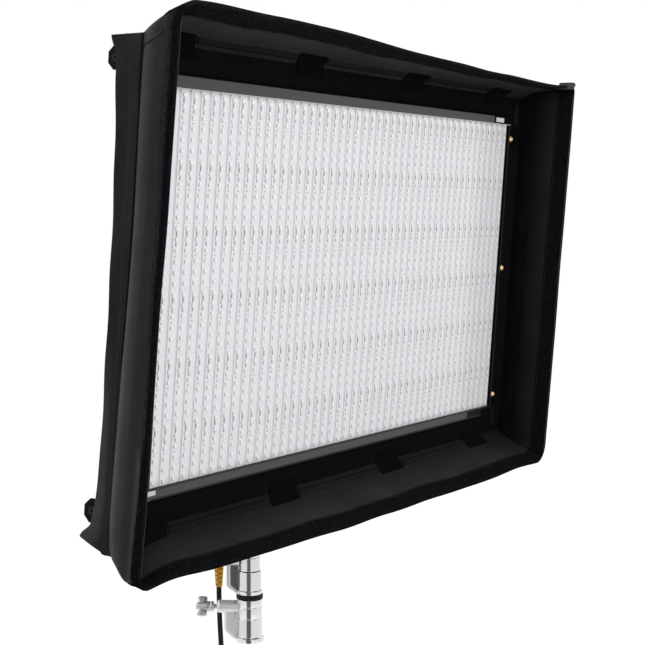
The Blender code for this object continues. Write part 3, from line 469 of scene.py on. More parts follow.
# %% Cord
CORD_X, CORD_Y = 0.0538, 0.1100
CORD_TOP, CORD_DROP, CORD_SWING, CORD_R = 0.0783, 0.2780, 0.0180, 0.0051
fall = np.linspace(0, 1, 25)
route = np.stack([CORD_X + CORD_SWING * (1 - np.cos(np.pi * fall)) / 2, np.full(25, CORD_Y),
                  CORD_TOP - CORD_DROP * fall], -1)
line = bpy.data.curves.new("cord", "CURVE")
line.dimensions = "3D"
line.bevel_depth = CORD_R
line.bevel_resolution = 6
line.use_fill_caps = True
spline = line.splines.new("POLY")
spline.points.add(len(route) - 1)
spline.points.foreach_set("co", np.column_stack([route, np.ones(len(route))]).ravel())
spline.use_smooth = True
line.materials.append(RUBBER)
cord = bpy.data.objects.new("cord", line)
scene.collection.objects.link(cord)
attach(cord, "yoke")
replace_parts(cord, "power_cord")

# %% Coupler at the end of the cord
end = route[-1]
h = np.linspace(0, 1, 181)
drop = -0.0003 - 0.0700 * h
collar = np.clip(np.minimum(h / 0.16, (1 - h) / 0.03 + 0.35), 0, 1)
grip = 0.0007 * (np.sin(2 * np.pi * h * 70 / 6) > 0) * ((h > 0.22) & (h < 0.74))
radius = 0.0062 + (0.0138 - 0.0062) * collar ** 0.7 - grip - 0.0012 * (np.abs(h - 0.80) < 0.012)
profile = np.column_stack([np.concatenate([[0], radius, [0.0095, 0.0088, 0]]),
                           end[2] + np.concatenate([drop[:1], drop, [drop[-1], drop[-1] + 0.008, drop[-1] + 0.008]])])
verts, faces = turned(profile, 48)
coupler = piece("coupler", verts + np.array([end[0], end[1], 0.0]), faces, PLASTIC, "yoke", "plastic_black")
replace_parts(coupler, "cord_coupler")
print("coupler ends at z = %.3f m" % profile[-1, 1])

# %% [markdown]
# The boot is one turned skin. Short slots go part of the way round, alternately on two sides, so that it bends
# like a spring: the radius is pressed in where both the height and the angle lie inside a slot, and the same
# mask colours the slot dark.

# %% Boot material and shape
BOOT, g, shader = material("boot_yellow", Roughness=0.52, Specular_IOR_Level=0.4)
skin = g.use(mottle, {"Vector": g.place(), "Coarse": 120.0, "Fine": 2200.0}).outputs
tone = g.mix(skin["Cloud"], (0.60, 0.270, 0.010), (0.80, 0.41, 0.025))
cut = g.add("ShaderNodeAttribute", attribute_name="slot").outputs["Fac"]
g.link(g.mix(cut, tone, (0.012, 0.009, 0.004)), shader.inputs["Base Color"])
g.link(g.bump(skin["Grain"], 0.3, 0.0001), shader.inputs["Normal"])

BOOT_LOW, BOOT_HIGH = 0.0786, 0.1226
h = np.linspace(0, 1, 141)[:, None]
a = (2 * np.pi * np.arange(80) / 80)[None, :]
outer = np.where(h < 0.77, 0.0066 + 0.0024 * h / 0.77, 0.0090 + 0 * h)
row = (h - 0.06) / 0.100
inside = (row > 0) & (row < 8) & (np.abs(row % 1 - 0.5) < 0.22)
facing = np.where(np.floor(row) % 2 == 0, math.radians(175), math.radians(245))
slot_mask = (inside & (np.abs((a - facing + np.pi) % (2 * np.pi) - np.pi) < 0.62)).astype(float)
slot_mask = np.maximum(slot_mask, np.roll(slot_mask, 40, 1))
radius = outer - 0.0016 * slot_mask
skin_points = np.stack([radius * np.cos(a), radius * np.sin(a), BOOT_LOW + (BOOT_HIGH - BOOT_LOW) * h + 0 * a], -1)
lid = np.zeros((1, 80, 3))
grid = np.concatenate([lid + (0, 0, BOOT_LOW), skin_points, lid + (0, 0, BOOT_HIGH)]) + (CORD_X, CORD_Y, 0.0)
mask = np.concatenate([0 * a, slot_mask, 0 * a])
boot = piece("boot", grid, quads_of(143, 80, wrap_cols=True), BOOT, "yoke", "boot_yellow", marks={"slot": mask})
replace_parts(boot, "cord_boot")
print("boot slots cover %.0f%% of it" % (100 * slot_mask.mean()))

# %% [markdown]
# ## LED field
# 46 white tapes, each six lengths of six LEDs. The CAD board already carries the tapes as ribs; its material
# draws the cut edge of every tape, with painted shade on that edge, and the join of every length. It also paints
# light just below the top channel and shade over the right end of the board. LEDs and chips are thousands of small
# blocks, so they are made as arrays of eight corners in one step.

# %% Tape material
PITCH, STRIPS, SEGMENT, SEGMENTS = 0.0254, 46, 0.0995, 6
LED_DROP = 0.0044
BOARD, g, shader = material("board_white", Roughness=0.5, Specular_IOR_Level=0.3)
spot = g.place()
centred = g.add("ShaderNodeMapping", {"Vector": spot, "Location": (0.0, 0.238, -0.699)}).outputs[0]
upright = g.add("ShaderNodeVectorRotate", {"Vector": centred, "Angle": -TILT}, rotation_type="X_AXIS").outputs[0]
axes = g.add("ShaderNodeSeparateXYZ", {0: upright}).outputs
across = g.math("FRACT", g.math("DIVIDE", g.math("ADD", axes[0], HALF_W), PITCH))
along = g.math("FRACT", g.math("DIVIDE", g.math("SUBTRACT", HALF_H - LED_DROP, axes[2]), SEGMENT))


def stripe(value, middle, half):
    """1 where a value is within half of the middle, else 0."""
    return g.math("LESS_THAN", g.math("ABSOLUTE", g.math("SUBTRACT", value, middle)), half)


skin = g.use(mottle, {"Vector": spot, "Coarse": 14.0, "Fine": 700.0}).outputs
tone = g.mix(skin["Cloud"], (0.775, 0.772, 0.795), (0.825, 0.822, 0.840))
# Painted light: just below the top channel the board is lifted almost to white, against the channel's shadow.
painted_light_below_channel = g.add("ShaderNodeMapRange", {0: axes[2], 1: 0.284, 2: 0.297}).outputs[0]
tone = g.mix(painted_light_below_channel, tone, (0.99, 0.99, 0.99))
tone = g.mix(stripe(across, 0.095, 0.095), tone, (0.790, 0.785, 0.835))
tone = g.mix(g.math("MULTIPLY", stripe(along, 0.005, 0.006), 0.12), tone, (0.45, 0.45, 0.47))
# Painted shade: the board darkens over its right end, where the right wall of the hood shades it.
painted_shade_right_end = g.add("ShaderNodeMapRange", {0: axes[0], 1: 0.430, 2: 0.490, 4: 0.22}).outputs[0]
tone = g.mix(painted_shade_right_end, tone, (0.36, 0.36, 0.40))
# A thin dark line on the left edge of every tape: its cut edge, with painted shade on that side.
tone = g.mix(stripe(across, 0.190, 0.026), tone, (0.25, 0.25, 0.31))
g.link(tone, shader.inputs["Base Color"])
g.link(g.bump(skin["Grain"], 0.12, 0.0001), shader.inputs["Normal"])
nodes["led_board"].data.materials[0] = BOARD
print("tapes: %d at %.1f mm" % (STRIPS, 1000 * PITCH))

# %% LED and chip materials
LED_CASE = hard_material("led_case", (0.80, 0.79, 0.78), 0.45, spread=0.06, spec=0.3)
# A grey sliver at the left of every LED: painted shade of the LED's side.
LED_PAINTED_SHADE = hard_material("led_painted_shade", (0.56, 0.54, 0.53), 0.5, spread=0.15, spec=0.2)
CHIP = hard_material("chip_dark", (0.42, 0.412, 0.408), 0.4, spec=0.2)
SOLDER = hard_material("solder", (0.68, 0.68, 0.70), 0.4, 0.2)
LENS, g, shader = material("led_lens", Roughness=0.25, Specular_IOR_Level=0.4)
cell = g.add("ShaderNodeVectorMath", {0: g.place(), 1: (PITCH, 1.0, SEGMENT / 6)}, operation="SNAP").outputs[0]
chance = g.add("ShaderNodeTexWhiteNoise", {"Vector": cell}).outputs["Value"]
g.link(g.ramp(chance, [(0.0, (0.97, 0.93, 0.82)), (0.5, (0.97, 0.89, 0.83)), (1.0, (0.97, 0.95, 0.92))]),
       shader.inputs["Base Color"])


# %% LEDs and chips
def on_tapes(name, x, z, size, mat, bevel):
    """Small blocks standing on the tapes; x and z on the board, size across, out and along."""
    x, z = np.broadcast_arrays(x, z)
    centres = np.stack([x, np.full(x.shape, -size[1] / 2), z], -1)
    verts, faces = blocks(centres, size, bevel)
    return piece(name, on_head(verts), faces, mat, "head", "board_white", smooth=False)


strip_x = ((np.arange(STRIPS) - (STRIPS - 1) / 2) * PITCH + 0.0002)[:, None]
seg_top = (HALF_H - LED_DROP - np.arange(SEGMENTS) * SEGMENT)[None, :]
step = SEGMENT / 6
led_z = (seg_top[0][:, None] - (np.arange(6) + 0.5) * step).reshape(1, -1)
on_tapes("led_cases", strip_x, led_z, (0.0058, 0.0015, 0.0066), LED_CASE, 0.0003)
on_tapes("led_lenses", strip_x + 0.0003, led_z, (0.0052, 0.0020, 0.0062), LENS, 0.0006)
# Painted shade at the left side of each LED.
on_tapes("led_painted_shades", strip_x - 0.0032, led_z, (0.0006, 0.0012, 0.0050), LED_PAINTED_SHADE, 0.0002)
pins = np.array([-0.0033, -0.0011, 0.0011, 0.0033])
chain_z = (seg_top[0][:, None] - step + pins).reshape(1, -1)
on_tapes("driver_pins", strip_x - 0.0004, chain_z, (0.0030, 0.0010, 0.0013), CHIP, 0.0001)
on_tapes("driver_chips", strip_x - 0.0004, seg_top - step, (0.0018, 0.0012, 0.0080), CHIP, 0.0002)
pair_z = (seg_top[0][:, None] - 1.95 * step + np.array([-0.0014, 0.0014])).reshape(1, -1)
on_tapes("resistors", strip_x - 0.0004, pair_z, (0.0030, 0.0009, 0.0024), CHIP, 0.0002)
on_tapes("small_parts", strip_x - 0.0004, seg_top - 3 * step, (0.0030, 0.0009, 0.0018), CHIP, 0.0002)
pad_x = (strip_x + np.array([[-0.0050, 0.0050]])).reshape(-1, 1)
on_tapes("solder_pads", pad_x, seg_top + 0.0005, (0.0030, 0.0003, 0.0020), SOLDER, 0.0002)
print("LEDs:", STRIPS * SEGMENTS * 6)

# %% [markdown]
# ## Frame
# The rails, end channels and edge strips keep their CAD solids. Studs and the small blank tags are trim and are
# added here: a stud is a turned profile stood on the front of a rail, a tag a thin flat plate.

# %% Frame finishes
FINISH = {FRAME: ["rail_top", "rail_bottom", "rail_left", "rail_right", "edge_left", "edge_right", "rear_crossbar"],
          LUG: ["lug_top_left", "lug_top_right", "lug_bottom_left", "lug_bottom_right"],
          CHANNEL: ["channel_top", "channel_bottom"], PANEL: ["back_panel"],
          STEEL: ["riser", "spigot", "tilt_bolt_left", "tilt_bolt_right", "supply_bracket", "supply_socket",
                  "head_socket"],
          YOKE: ["yoke_base", "yoke_arm_left", "yoke_arm_right", "tilt_ear_left", "tilt_ear_right"],
          PLASTIC: ["supply_case", "supply_inlet", "cord_plug", "tilt_lever", "dimmer_knob"],
          RUBBER: ["collar_ring"], CAST: ["lower_collar", "upper_collar"], CAST_GREY: ["lower_handle", "upper_handle"]}
for mat, names in FINISH.items():
    for name in names:
        nodes[name].data.materials[0] = mat
print("finished CAD nodes:", sum(len(names) for names in FINISH.values()))


# %% Studs and tags
def facing(place, outward):
    """Matrix that stands a part turned about Z on the head, its Z axis along a direction of the head."""
    c, s = math.cos(TILT), math.sin(TILT)
    lean = Matrix(((1, 0, 0), (0, c, -s), (0, s, c)))
    turn = Vector((0, 0, 1)).rotation_difference(Vector(outward)).to_matrix()
    out = (lean @ turn).to_4x4()
    out.translation = Vector(on_head(place))
    return out


def plate(name, x0, x1, z0, z1, y, thick, mat, slot, nx=8, nz=4, curl=0.0):
    """A thin plate in front of the head; curl lifts its middle."""
    u, v = np.meshgrid(np.linspace(0, 1, nx), np.linspace(0, 1, nz), indexing="ij")
    lift = curl * np.sin(np.pi * u) * np.sin(np.pi * v)
    x = x0 + (x1 - x0) * u
    z = z0 + (z1 - z0) * v
    sheet = np.stack([np.stack([x, y - thick - lift, z], -1), np.stack([x, y + 0 * x, z], -1)])
    count = nx * nz
    index = np.arange(count).reshape(nx, nz)
    rim = np.concatenate([index[:, 0], index[-1, 1:], index[-2::-1, -1], index[0, -2:0:-1]])
    after = np.roll(rim, -1)
    faces = np.concatenate([quads_of(nx, nz), quads_of(nx, nz)[:, ::-1] + count,
                            np.stack([rim, after, after + count, rim + count], -1)])
    return piece(name, on_head(sheet), faces, mat, "head", slot, uv=sheet[..., [0, 2]], smooth=False)


def bar(name, x, z, y, thick, mat, slot="frame_black"):
    """A bar on the head: x and z of the four corners of its front, y of its middle, thickness."""
    corners, faces = blocks([(0.0, y, 0.0)], (0.0, thick, 0.0))
    corners[..., 0], corners[..., 2] = np.array(x * 2), np.array(z * 2)
    piece(name, on_head(corners), faces, mat, "head", slot, smooth=False)


STUD = softened([(0.0, 0.0052), (0.0022, 0.0050), (0.0042, 0.0034), (0.0046, 0.0018), (0.0060, 0.0014),
                 (0.0062, 0.0), (0.0, 0.0)])
for side, sign in (("left", -1), ("right", 1)):
    for number, z in enumerate((0.270, -0.004, -0.276)):
        shell = moved(turned(STUD, 32), facing((sign * 0.5950, -0.0050, z), (0, -1, 0)))
        piece("stud_%s_%d" % (side, number + 1), *shell, BRASS, "head", "boot_yellow")
wide = (-0.6000, HALF_W, HALF_W, -0.6000)
bar("channel_face_top", wide, (0.2963, 0.2998, 0.3158, 0.3158), -0.0056, 0.0072, CHANNEL)
# The bottom channel face takes the lighter copy of the channel grey, painted light.
bar("channel_face_bottom", wide, (-0.3002, -0.3002, -0.3158, -0.3158), -0.0056, 0.0072, CHANNEL_PAINTED_LIGHT)
# A white sheet under the top channel, standing in for light: it lightens the channel's shadow on the board and shows
# as a pale line at its edge.
bar("channel_light_sheet", (-0.5990, 0.5840, 0.5840, -0.5990), (0.2955, 0.2990, 0.2997, 0.2962), -0.0048, 0.0084, TAG,
    "board_white")
plate("end_block_top", 0.502, HALF_W, 0.3003, 0.3158, -0.0092, 0.0008, FRAME, "plastic_black")
plate("end_block_bottom", 0.534, HALF_W, -0.3158, -0.3004, -0.0092, 0.0008, FRAME, "plastic_black")
# A darker plate over the right end of the bottom channel: painted shade from the right wall of the hood.
plate("channel_end_shade_bottom", 0.470, 0.534, -0.3158, -0.3004, -0.0092, 0.0004, LUG, "plastic_black")
plate("tag_top", 0.508, 0.545, 0.3025, 0.3115, -0.0100, 0.0005, TAG, "board_white")
plate("tag_bottom", -0.5970, -0.5740, -0.3084, -0.3014, -0.0092, 0.0005, TAG, "board_white")
# The first strip, along the lower edge of the board, is painted shade of the gap above the bottom channel.
for name, z, tall, mat in (("channel_gap_shade", -0.3001, 0.0006, TRIM), ("channel_lip_top", 0.3153, 0.0024, FRAME),
                           ("channel_lip_bottom", -0.3146, 0.0028, TRIM)):
    strip = blocks([(0.0, -0.0066, z)], (2 * HALF_W, 0.0064, tall))
    piece(name, on_head(strip[0]), strip[1], mat, "head", "frame_black", smooth=False)
for side, sign in (("left", -1), ("right", 1)):
    strip = blocks([(sign * 0.5855, -0.0055, 0.0)], (0.0019, 0.0010, 0.598))
    piece("edge_trim_" + side, on_head(strip[0]), strip[1], TRIM, "head", "frame_black", smooth=False)
EYELET = softened([(0.0020, -0.0085), (0.0066, -0.0085), (0.0066, -0.0052), (0.0048, -0.0052), (0.0048, 0.0001),
                   (0.0068, 0.0001), (0.0068, 0.0016), (0.0020, 0.0016)], 0.0004, 2, True)
shells = [moved(turned(EYELET, 24, True), facing((sx * 0.6397, 0.0551, sz * 0.3330), (sx, 0, 0)))
          for sx in (-1, 1) for sz in (-1, 1)]
piece("lug_eyelets", *joined(*shells), RUBBER, "head", "rubber_black")
print("studs: 6, tags: 2")

# %% [markdown]
# ## Fabric hood
# One formula gives the whole hood: a rounded rectangle at the frame that grows to a larger one at the front
# edge, sags, turns a little and bellies between the corners. Walls, loop bands, seams and stitches are profiles
# carried along it, so they fit each other like sewn panels do. Wrinkles are sums of a few slow sines, which
# stay smooth and always come out the same; a cloth simulation would only find the same stretched panels.

# %% Hood formula
ROLL, SAG = math.radians(1.18), 0.0094
FLARE_SIDE, FLARE_TOP, FLARE_BOTTOM, BULGE = 0.0430, 0.0410, 0.0370, 0.0040
EDGE = {"top": (0, 1.4, 2.5, 1.2, -3.7, -4.2, -4.5, -4.5, 0), "bottom": (0, 6.1, 4.3, 5.5, 1.0, -1.1, -4.3, -6.9, 0),
        "left": (0, -1, -2, -2, -2, -2, -2, -1, 0), "right": (0, 0.5, 1, 1, 1, 1, 1, 0.5, 0)}
CORNERS = {"top": ("TL", "TR"), "bottom": ("BL", "BR"), "left": ("BL", "TL"), "right": ("BR", "TR")}
ROUND = {"TL": 0.034, "TR": 0.010, "BL": 0.020, "BR": 0.034}
HANG = {"TL": -0.003, "TR": 0.004, "BL": -0.011, "BR": 0.011}
FOOT_HANG = {"TL": 0.001, "TR": 0.0, "BL": -0.016, "BR": 0.0}
SWELL = {"TL": 0.0, "TR": 0.0, "BL": -0.008, "BR": 0.0}
REACH = {"TL": 0.060, "TR": 0.060, "BL": 0.060, "BR": 0.160}
DEPTH = FOLD_Y - EDGE_Y


def slack(side, t, share):
    """Soft wrinkles of a wall: none at the frame, most in its middle, a little at the front edge."""
    phase = {"top": 0.3, "bottom": 1.7, "left": 2.9, "right": 4.1}[side]
    wide = 2.2 if side in ("top", "bottom") else 1.3
    body = np.sin(np.pi * np.clip(share, 0, 1)) ** 0.8
    slow = np.sin(5.1 * wide * t + phase) + 0.6 * np.sin(9.7 * wide * t + 2.1 * phase + 2.0 * share)
    fine = 0.35 * np.sin(23.0 * wide * t + 3.0 * phase + 5.0 * share) + 0.25 * np.sin(37.0 * wide * t - 4.0 * share)
    return 0.0010 * body * (slow + fine) + 0.0007 * share * slow


def ease(value):
    """A step from 0 to 1 that starts and ends softly."""
    v = np.clip(value, 0, 1)
    return v * v * (3 - 2 * v)


def edge_line(side, t):
    """How far the front edge stands out of the straight: nine measured offsets blended with cosine humps."""
    knots = np.linspace(-1, 1, 9)
    near = np.clip(np.abs(t[..., None] - knots) / 0.25, 0, 1)
    return 0.001 * (np.cos(near * np.pi / 2) ** 2 * np.array(EDGE[side])).sum(-1)


def left_back(t):
    """How far the front edge of the left wall lies behind that of the others: more in its lower half."""
    return 0.0062 - 0.0036 * ease((t + 0.3) / 1.3)


def hood(side, t, share, out):
    """Points of the hood in head coordinates; t from -1 to 1 along a side, share from frame to front edge.

    Along each side the point runs straight and then half way round a corner arc, so neighbours meet there.
    """
    t, share, out = np.broadcast_arrays(np.asarray(t, float), np.asarray(share, float), np.asarray(out, float))
    first, last = CORNERS[side]
    near = np.clip(share, 0, 1)
    level = side in ("top", "bottom")
    to_end = (1 - np.abs(t)) * (SLEEVE_W if level else SLEEVE_H)
    foot = 0.0 if level else 0.0045 * np.exp(-((share - 0.14) / 0.09) ** 2) * (1 - np.exp(-(to_end / 0.035) ** 2))
    grow = BULGE * np.sin(np.pi * near) + out + foot
    half_w = SLEEVE_W + FLARE_SIDE * share + grow
    up = SLEEVE_H + FLARE_TOP * share + grow
    down = SLEEVE_H + FLARE_BOTTOM * share + grow
    bend = np.maximum(0.004 + np.where(t < 0, ROUND[first], ROUND[last]) * near + out, 0.0008)
    half = half_w if level else (up + down) / 2
    run = np.abs(t) * (half - bend + bend * np.pi / 4)
    turn = np.clip(run - (half - bend), 0, None) / bend
    s = np.sign(t) * np.where(turn > 0, half - bend + bend * np.sin(turn), run)
    dip = bend * (1 - np.cos(turn))
    belly = edge_line(side, t) * share + slack(side, t, share) * (1 - t ** 8)
    if level:
        x, z = s, (up - dip + belly if side == "top" else dip - down - belly)
    else:
        x, z = (half_w - dip + belly) * (1 if side == "right" else -1), (up - down) / 2 + s

    def corner(table):
        return np.where(t < 0, table[first], table[last])

    end = corner(HANG) * near + corner(FOOT_HANG) * (1 - near) + corner(SWELL) * np.exp(-((share - 0.55) / 0.22) ** 2)
    z = z + end * np.exp(-((1 - np.abs(t)) * half / corner(REACH)) ** 2) * ease(near / 0.16)
    if level:
        setback = left_back(1.0 if side == "top" else -1.0) * np.exp(-((1 + t) * half / 0.16) ** 2)
    else:
        setback = left_back(t) * (side == "left")
    y = FOLD_Y + (EDGE_Y - FOLD_Y + setback) * share
    low_left = {"left": ease((0.35 - t) / 1.35), "bottom": (t < 0) * np.exp(-(to_end / 0.030) ** 2)}.get(side, 0.0)
    y = y + 0.0145 * low_left * (1 - near) * np.clip(1 + out / 0.006, 0, 1)
    roll = ROLL * share
    return np.stack([x * np.cos(roll) + z * np.sin(roll), y, z * np.cos(roll) - x * np.sin(roll) - SAG * share], -1)


# %% Strips along the hood
def even(t):
    """A band of the same width all along."""
    return 1.0 + 0 * t


def pinched(t):
    """The left band is turned over further in its lower half, so less of it shows there."""
    return 0.87 - 0.34 * np.exp(-((t + 0.5) / 0.65) ** 2)


def along_side(name, side, outer, inner, steps, mat, slot, span=(-1.0, 1.0), width=even, shade=None):
    """A closed strip: lines of (share, out) on its outer and inner face, carried along a side."""
    t = np.linspace(max(span[0], -1 + 0.0004), min(span[1], 1 - 0.0004), steps + 1)[:, None]
    loop = np.array(list(outer) + list(inner)[::-1])
    verts = hood(side, t, 1 - (1 - loop[None, :, 0]) * width(t), loop[None, :, 1])
    count, half = len(loop), len(outer)
    k = np.arange(half - 1)
    cap = np.stack([k, k + 1, count - 2 - k, count - 1 - k], -1)
    faces = np.concatenate([quads_of(steps + 1, count, wrap_cols=True), cap[:, ::-1], cap + steps * count])
    reach = SLEEVE_W if side in ("top", "bottom") else SLEEVE_H
    walk = np.concatenate([[0], np.cumsum(np.hypot(DEPTH * np.diff(loop[:, 0]), np.diff(loop[:, 1])))])
    uv = np.stack(np.broadcast_arrays(t * reach, walk[None, :]), -1)
    # The attribute 'shade' carries painted shade and painted highlight for the cloth and tape materials.
    marks = {"shade": np.broadcast_to(shade, (steps + 1, count))} if shade is not None else None
    return piece(name, on_head(verts), faces, mat, "head", slot, uv=uv, marks=marks)


def stitches(name, side, share, out, width, pitch=0.0042, long=0.0029, wide=0.0007, high=0.0005):
    """A row of stitches: each is a block between two places along the side, two shares and two heights."""
    reach = SLEEVE_W if side in ("top", "bottom") else SLEEVE_H
    middle = np.arange(-0.985, 0.985, pitch / reach)[:, None]
    dt = np.array([-1, 1, 1, -1, -1, 1, 1, -1]) * long / reach / 2
    ds = np.array([-1, -1, 1, 1, -1, -1, 1, 1]) * wide / DEPTH / 2
    do = np.array([1, 1, 1, 1, 0, 0, 0, 0]) * high * np.sign(out + CLOTH / 2)
    verts = hood(side, middle + dt, 1 - (1 - share) * width(middle) + ds, out + do)
    return piece(name, on_head(verts), block_faces(len(middle)), THREAD, "head", "cloth_black", smooth=False)


FOOT_IN = 0.0105


def cove(share):
    """Rounding at the foot of a wall, inside: how far the cloth stands in over the rail."""
    return FOOT_IN * np.clip(1 - np.asarray(share) / 0.2, 0, 1) ** 2.2


# %% Walls and loop bands
WALL_END = 1 - (TAPE + GAP) / DEPTH
LIP = 1 - TAPE / DEPTH
# Per side: grid steps, band width, cut length and cut width of the flat panel, and the painted shade of the loop band
# (below 0 a painted highlight).
PANELS = {"top": (170, 0.042, 1.35, 0.090, -0.50), "bottom": (170, 0.031, 1.35, 0.068, 0.10),
          "left": (110, 0.031, 0.78, 0.049, 0.0), "right": (110, 0.031, 0.78, 0.068, 0.35)}
# Painted shade inside each wall, from its foot to its front edge: dark at the foot, a painted highlight where it falls
# below 0.
INSIDE_SHADE = {"top": (0.55, 0.10, -0.60, -1.05, -1.60), "bottom": (0.75, 0.45, 0.15, -0.30, -0.75),
          "left": (0.60, 0.50, 0.30, 0.00, 0.00), "right": (1.00, 0.92, 0.76, 0.42, 0.05)}
INSIDE_SHADE_AT = (0.0, 0.12, 0.30, 0.55, 0.90)
# Painted shade and highlight on the left wall's outer face: dark in the groove at its foot, a painted highlight on the
# crest beside it, stronger low down.
CREST_SHADE_AT = (0.0, 0.03, 0.07, 0.10, 0.14, 0.18, 0.22, 0.26, 0.32, 0.45, 0.60, 1.0)
CREST_SHADE_LOW = (1.0, -0.57, -2.84, -3.98, -4.03, -2.95, -2.05, -1.14, -0.43, 0.27, 0.39, 0.10)
CREST_SHADE_HIGH = (1.0, 0.17, -0.78, -1.48, -2.0, -2.07, -1.48, -0.86, 0.02, 0.37, 0.37, 0.33)
# Painted light on the left loop band: a painted highlight along its outer edge in the upper part, painted shade on the
# rest.
PILE_SHADE_LOW = (0.20, 0.20, 0.30, 0.35, 0.45, 0.50, 0.45)
PILE_SHADE_HIGH = (0.30, -1.70, -1.60, -0.60, 0.40, 0.45, 0.35)
PILE_SHADE_REST, PILE_REST_POINTS = 0.15, 27
for side, (steps, width, cut_length, cut_width, dim) in PANELS.items():
    start = 1 - width / DEPTH
    levels = np.concatenate([[0.035, 0.070], np.linspace(0.105, start, 12)[:-1], np.linspace(start, WALL_END, 6)])
    outer = [(0.0, -CLOTH - FOOT_IN), (0.0, -0.0065), (0.0, 0.0)] + [(s, 0.0) for s in levels]
    inner = [(0.008, -CLOTH - FOOT_IN), (0.012, -CLOTH - 0.0098), (0.018, -CLOTH - 0.0088)]
    inner += [(s, -CLOTH - c) for s, c in zip(levels, cove(levels))]
    out_share, in_share = ([s for s, _ in line] for line in (outer, inner))
    run = np.linspace(-1, 1, steps + 1)[:, None]
    up = ease(run + 0.2)
    # Painted shade in the groove at the foot of each wall, on its outer face.
    outside = np.exp(-(np.array(out_share) / 0.035) ** 2) + 0 * up
    if side == "left":
        high, low = (np.interp(out_share, CREST_SHADE_AT, crest) for crest in (CREST_SHADE_HIGH, CREST_SHADE_LOW))
        # A painted highlight on the left wall just before its band, in the lowest part.
        band_edge_light = np.exp(-((np.array(out_share) - 0.76) / 0.06) ** 2)
        outside = up * high + (1 - up) * low - ease((-run - 0.53) / 0.06) * 1.3 * band_edge_light
        above = ease((run + 0.60) / 0.12)
        dim = above * np.array(PILE_SHADE_HIGH) + (1 - above) * np.array(PILE_SHADE_LOW)
        dim = np.pad(dim, ((0, 0), (0, PILE_REST_POINTS)), constant_values=PILE_SHADE_REST)
    inside = np.interp(in_share, INSIDE_SHADE_AT, INSIDE_SHADE[side]) + 0 * up
    wall = along_side("hood_" + side, side, outer, inner, steps, NYLON, "cloth_black",
                      shade=np.concatenate([outside, inside[:, ::-1]], 1))
    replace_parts(wall, "wall_" + side)
    taped = np.linspace(start, WALL_END, 7)
    pile = TAPE * np.sin(np.linspace(0.35, 1, 7) * np.pi / 2)
    outer = [(s, GAP + p) for s, p in zip(taped, pile)] + [(1.0, GAP + 0.6 * TAPE), (1.004, -CLOTH / 2)]
    outer += [(1.0, -CLOTH - GAP - 0.6 * TAPE)] + [(s, -CLOTH - GAP - p) for s, p in zip(taped[::-1], pile[::-1])]
    inner = [(s, GAP) for s in taped] + [(LIP, GAP), (LIP, -CLOTH / 2), (LIP, -CLOTH - GAP)]
    inner += [(s, -CLOTH - GAP) for s in taped[::-1]]
    turn_over = pinched if side == "left" else even
    tape = along_side("band_" + side, side, outer, inner, steps, LOOP, "loop_black", width=turn_over, shade=dim)
    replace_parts(tape, "loop_band_" + side)
    for face, out in (("outer", GAP + 0.0009), ("inner", -CLOTH - GAP - 0.0009)):
        stitches("stitch_%s_%s" % (side, face), side, start + 0.0024 / DEPTH, out, turn_over)
print("hood:", len(PANELS), "walls with bands")

# %% [markdown]
# Small sewn parts of the hood: a pale piping on the inner edge of the two short bands, a black cord in the fold
# at their foot as painted shade of that groove, a seam near the top of the left wall, and the free end of the tape
# at one corner.

# %% Piping, seam and tape end
a = np.linspace(0, 2 * np.pi, 9)[:-1]
for side in ("left", "right"):
    # The fold cord is a dark roll laid in the groove at the foot: painted shade.
    for name, share, out, thick, mat, slot, end in (
            ("piping_", 1.0 - 0.0006 / DEPTH, -CLOTH - GAP - TAPE - 0.0002, 0.0007, WEBBING, "loop_black", 0.97),
            ("groove_shade_cord_", -0.0004 / DEPTH, 0.0010, 0.0013, LUG, "cloth_black", 0.96)):
        around = [(share + thick / DEPTH * np.cos(v), out + thick * np.sin(v)) for v in a]
        along_side(name + side, side, around[:4], around[:3:-1], 110, mat, slot, (-end, end))
seam_levels, end_levels = np.linspace(0.06, 0.62, 12), np.linspace(1 - 0.018 / DEPTH, 1.014, 5)
along_side("seam_left", "left", [(s, 0.0012) for s in seam_levels], [(s, -0.0002) for s in seam_levels], 3, NYLON,
           "cloth_black", (0.925, 0.934))
along_side("tape_end", "top", [(s, 0.0088) for s in end_levels], [(s, -0.0060) for s in end_levels], 14, WEBBING,
           "loop_black", (0.945, 0.995))
print("trim on the hood: piping, seam and tape end")

# %% [markdown]
# The sleeve that slips over the frame is a closed ring of cloth with a drawn-out tip behind each corner. The
# grid runs round the frame one way and from front to back the other; the back edge is read from the distance to
# the nearest corner.

# %% Sleeve
ARC = 75
u = np.linspace(-1, 1, ARC + 1)[:-1]
spread = np.sign(u) * (1 - (1 - np.abs(u)) ** 1.8)
one = np.ones(ARC)
tx = np.concatenate([spread, one, -spread, -one])
tz = np.concatenate([-one, spread, one, -spread])
off = np.where(np.abs(tz) == 1.0, (1 - np.abs(tx)) * SLEEVE_W, (1 - np.abs(tz)) * SLEEVE_H)
top = tz > 0
lift = np.where(top, 0.0100 * np.exp(-(off / 0.170) ** 2), 0.0120 * np.exp(-(off / 0.070) ** 2))
tip = np.where(top, 0.0110 * np.exp(-(off / 0.020) ** 2), 0.0190 * np.exp(-(off / 0.013) ** 2))
ripple = 0.0009 * np.sin(31.0 * tx + 17.0 * tz) * np.clip(off / 0.05, 0, 1)
back_y = RAIL_BACK + 0.0010 + lift + tip + ripple
rows = np.linspace(0, 1, 13)
y = FOLD_Y + GAP + (back_y[:, None] - FOLD_Y - GAP) * rows
crease = np.sin(np.pi * rows) * (1 + np.sin(13.0 * tx + 9.0 * tz)[:, None]) * np.clip(off / 0.02, 0, 1)[:, None]
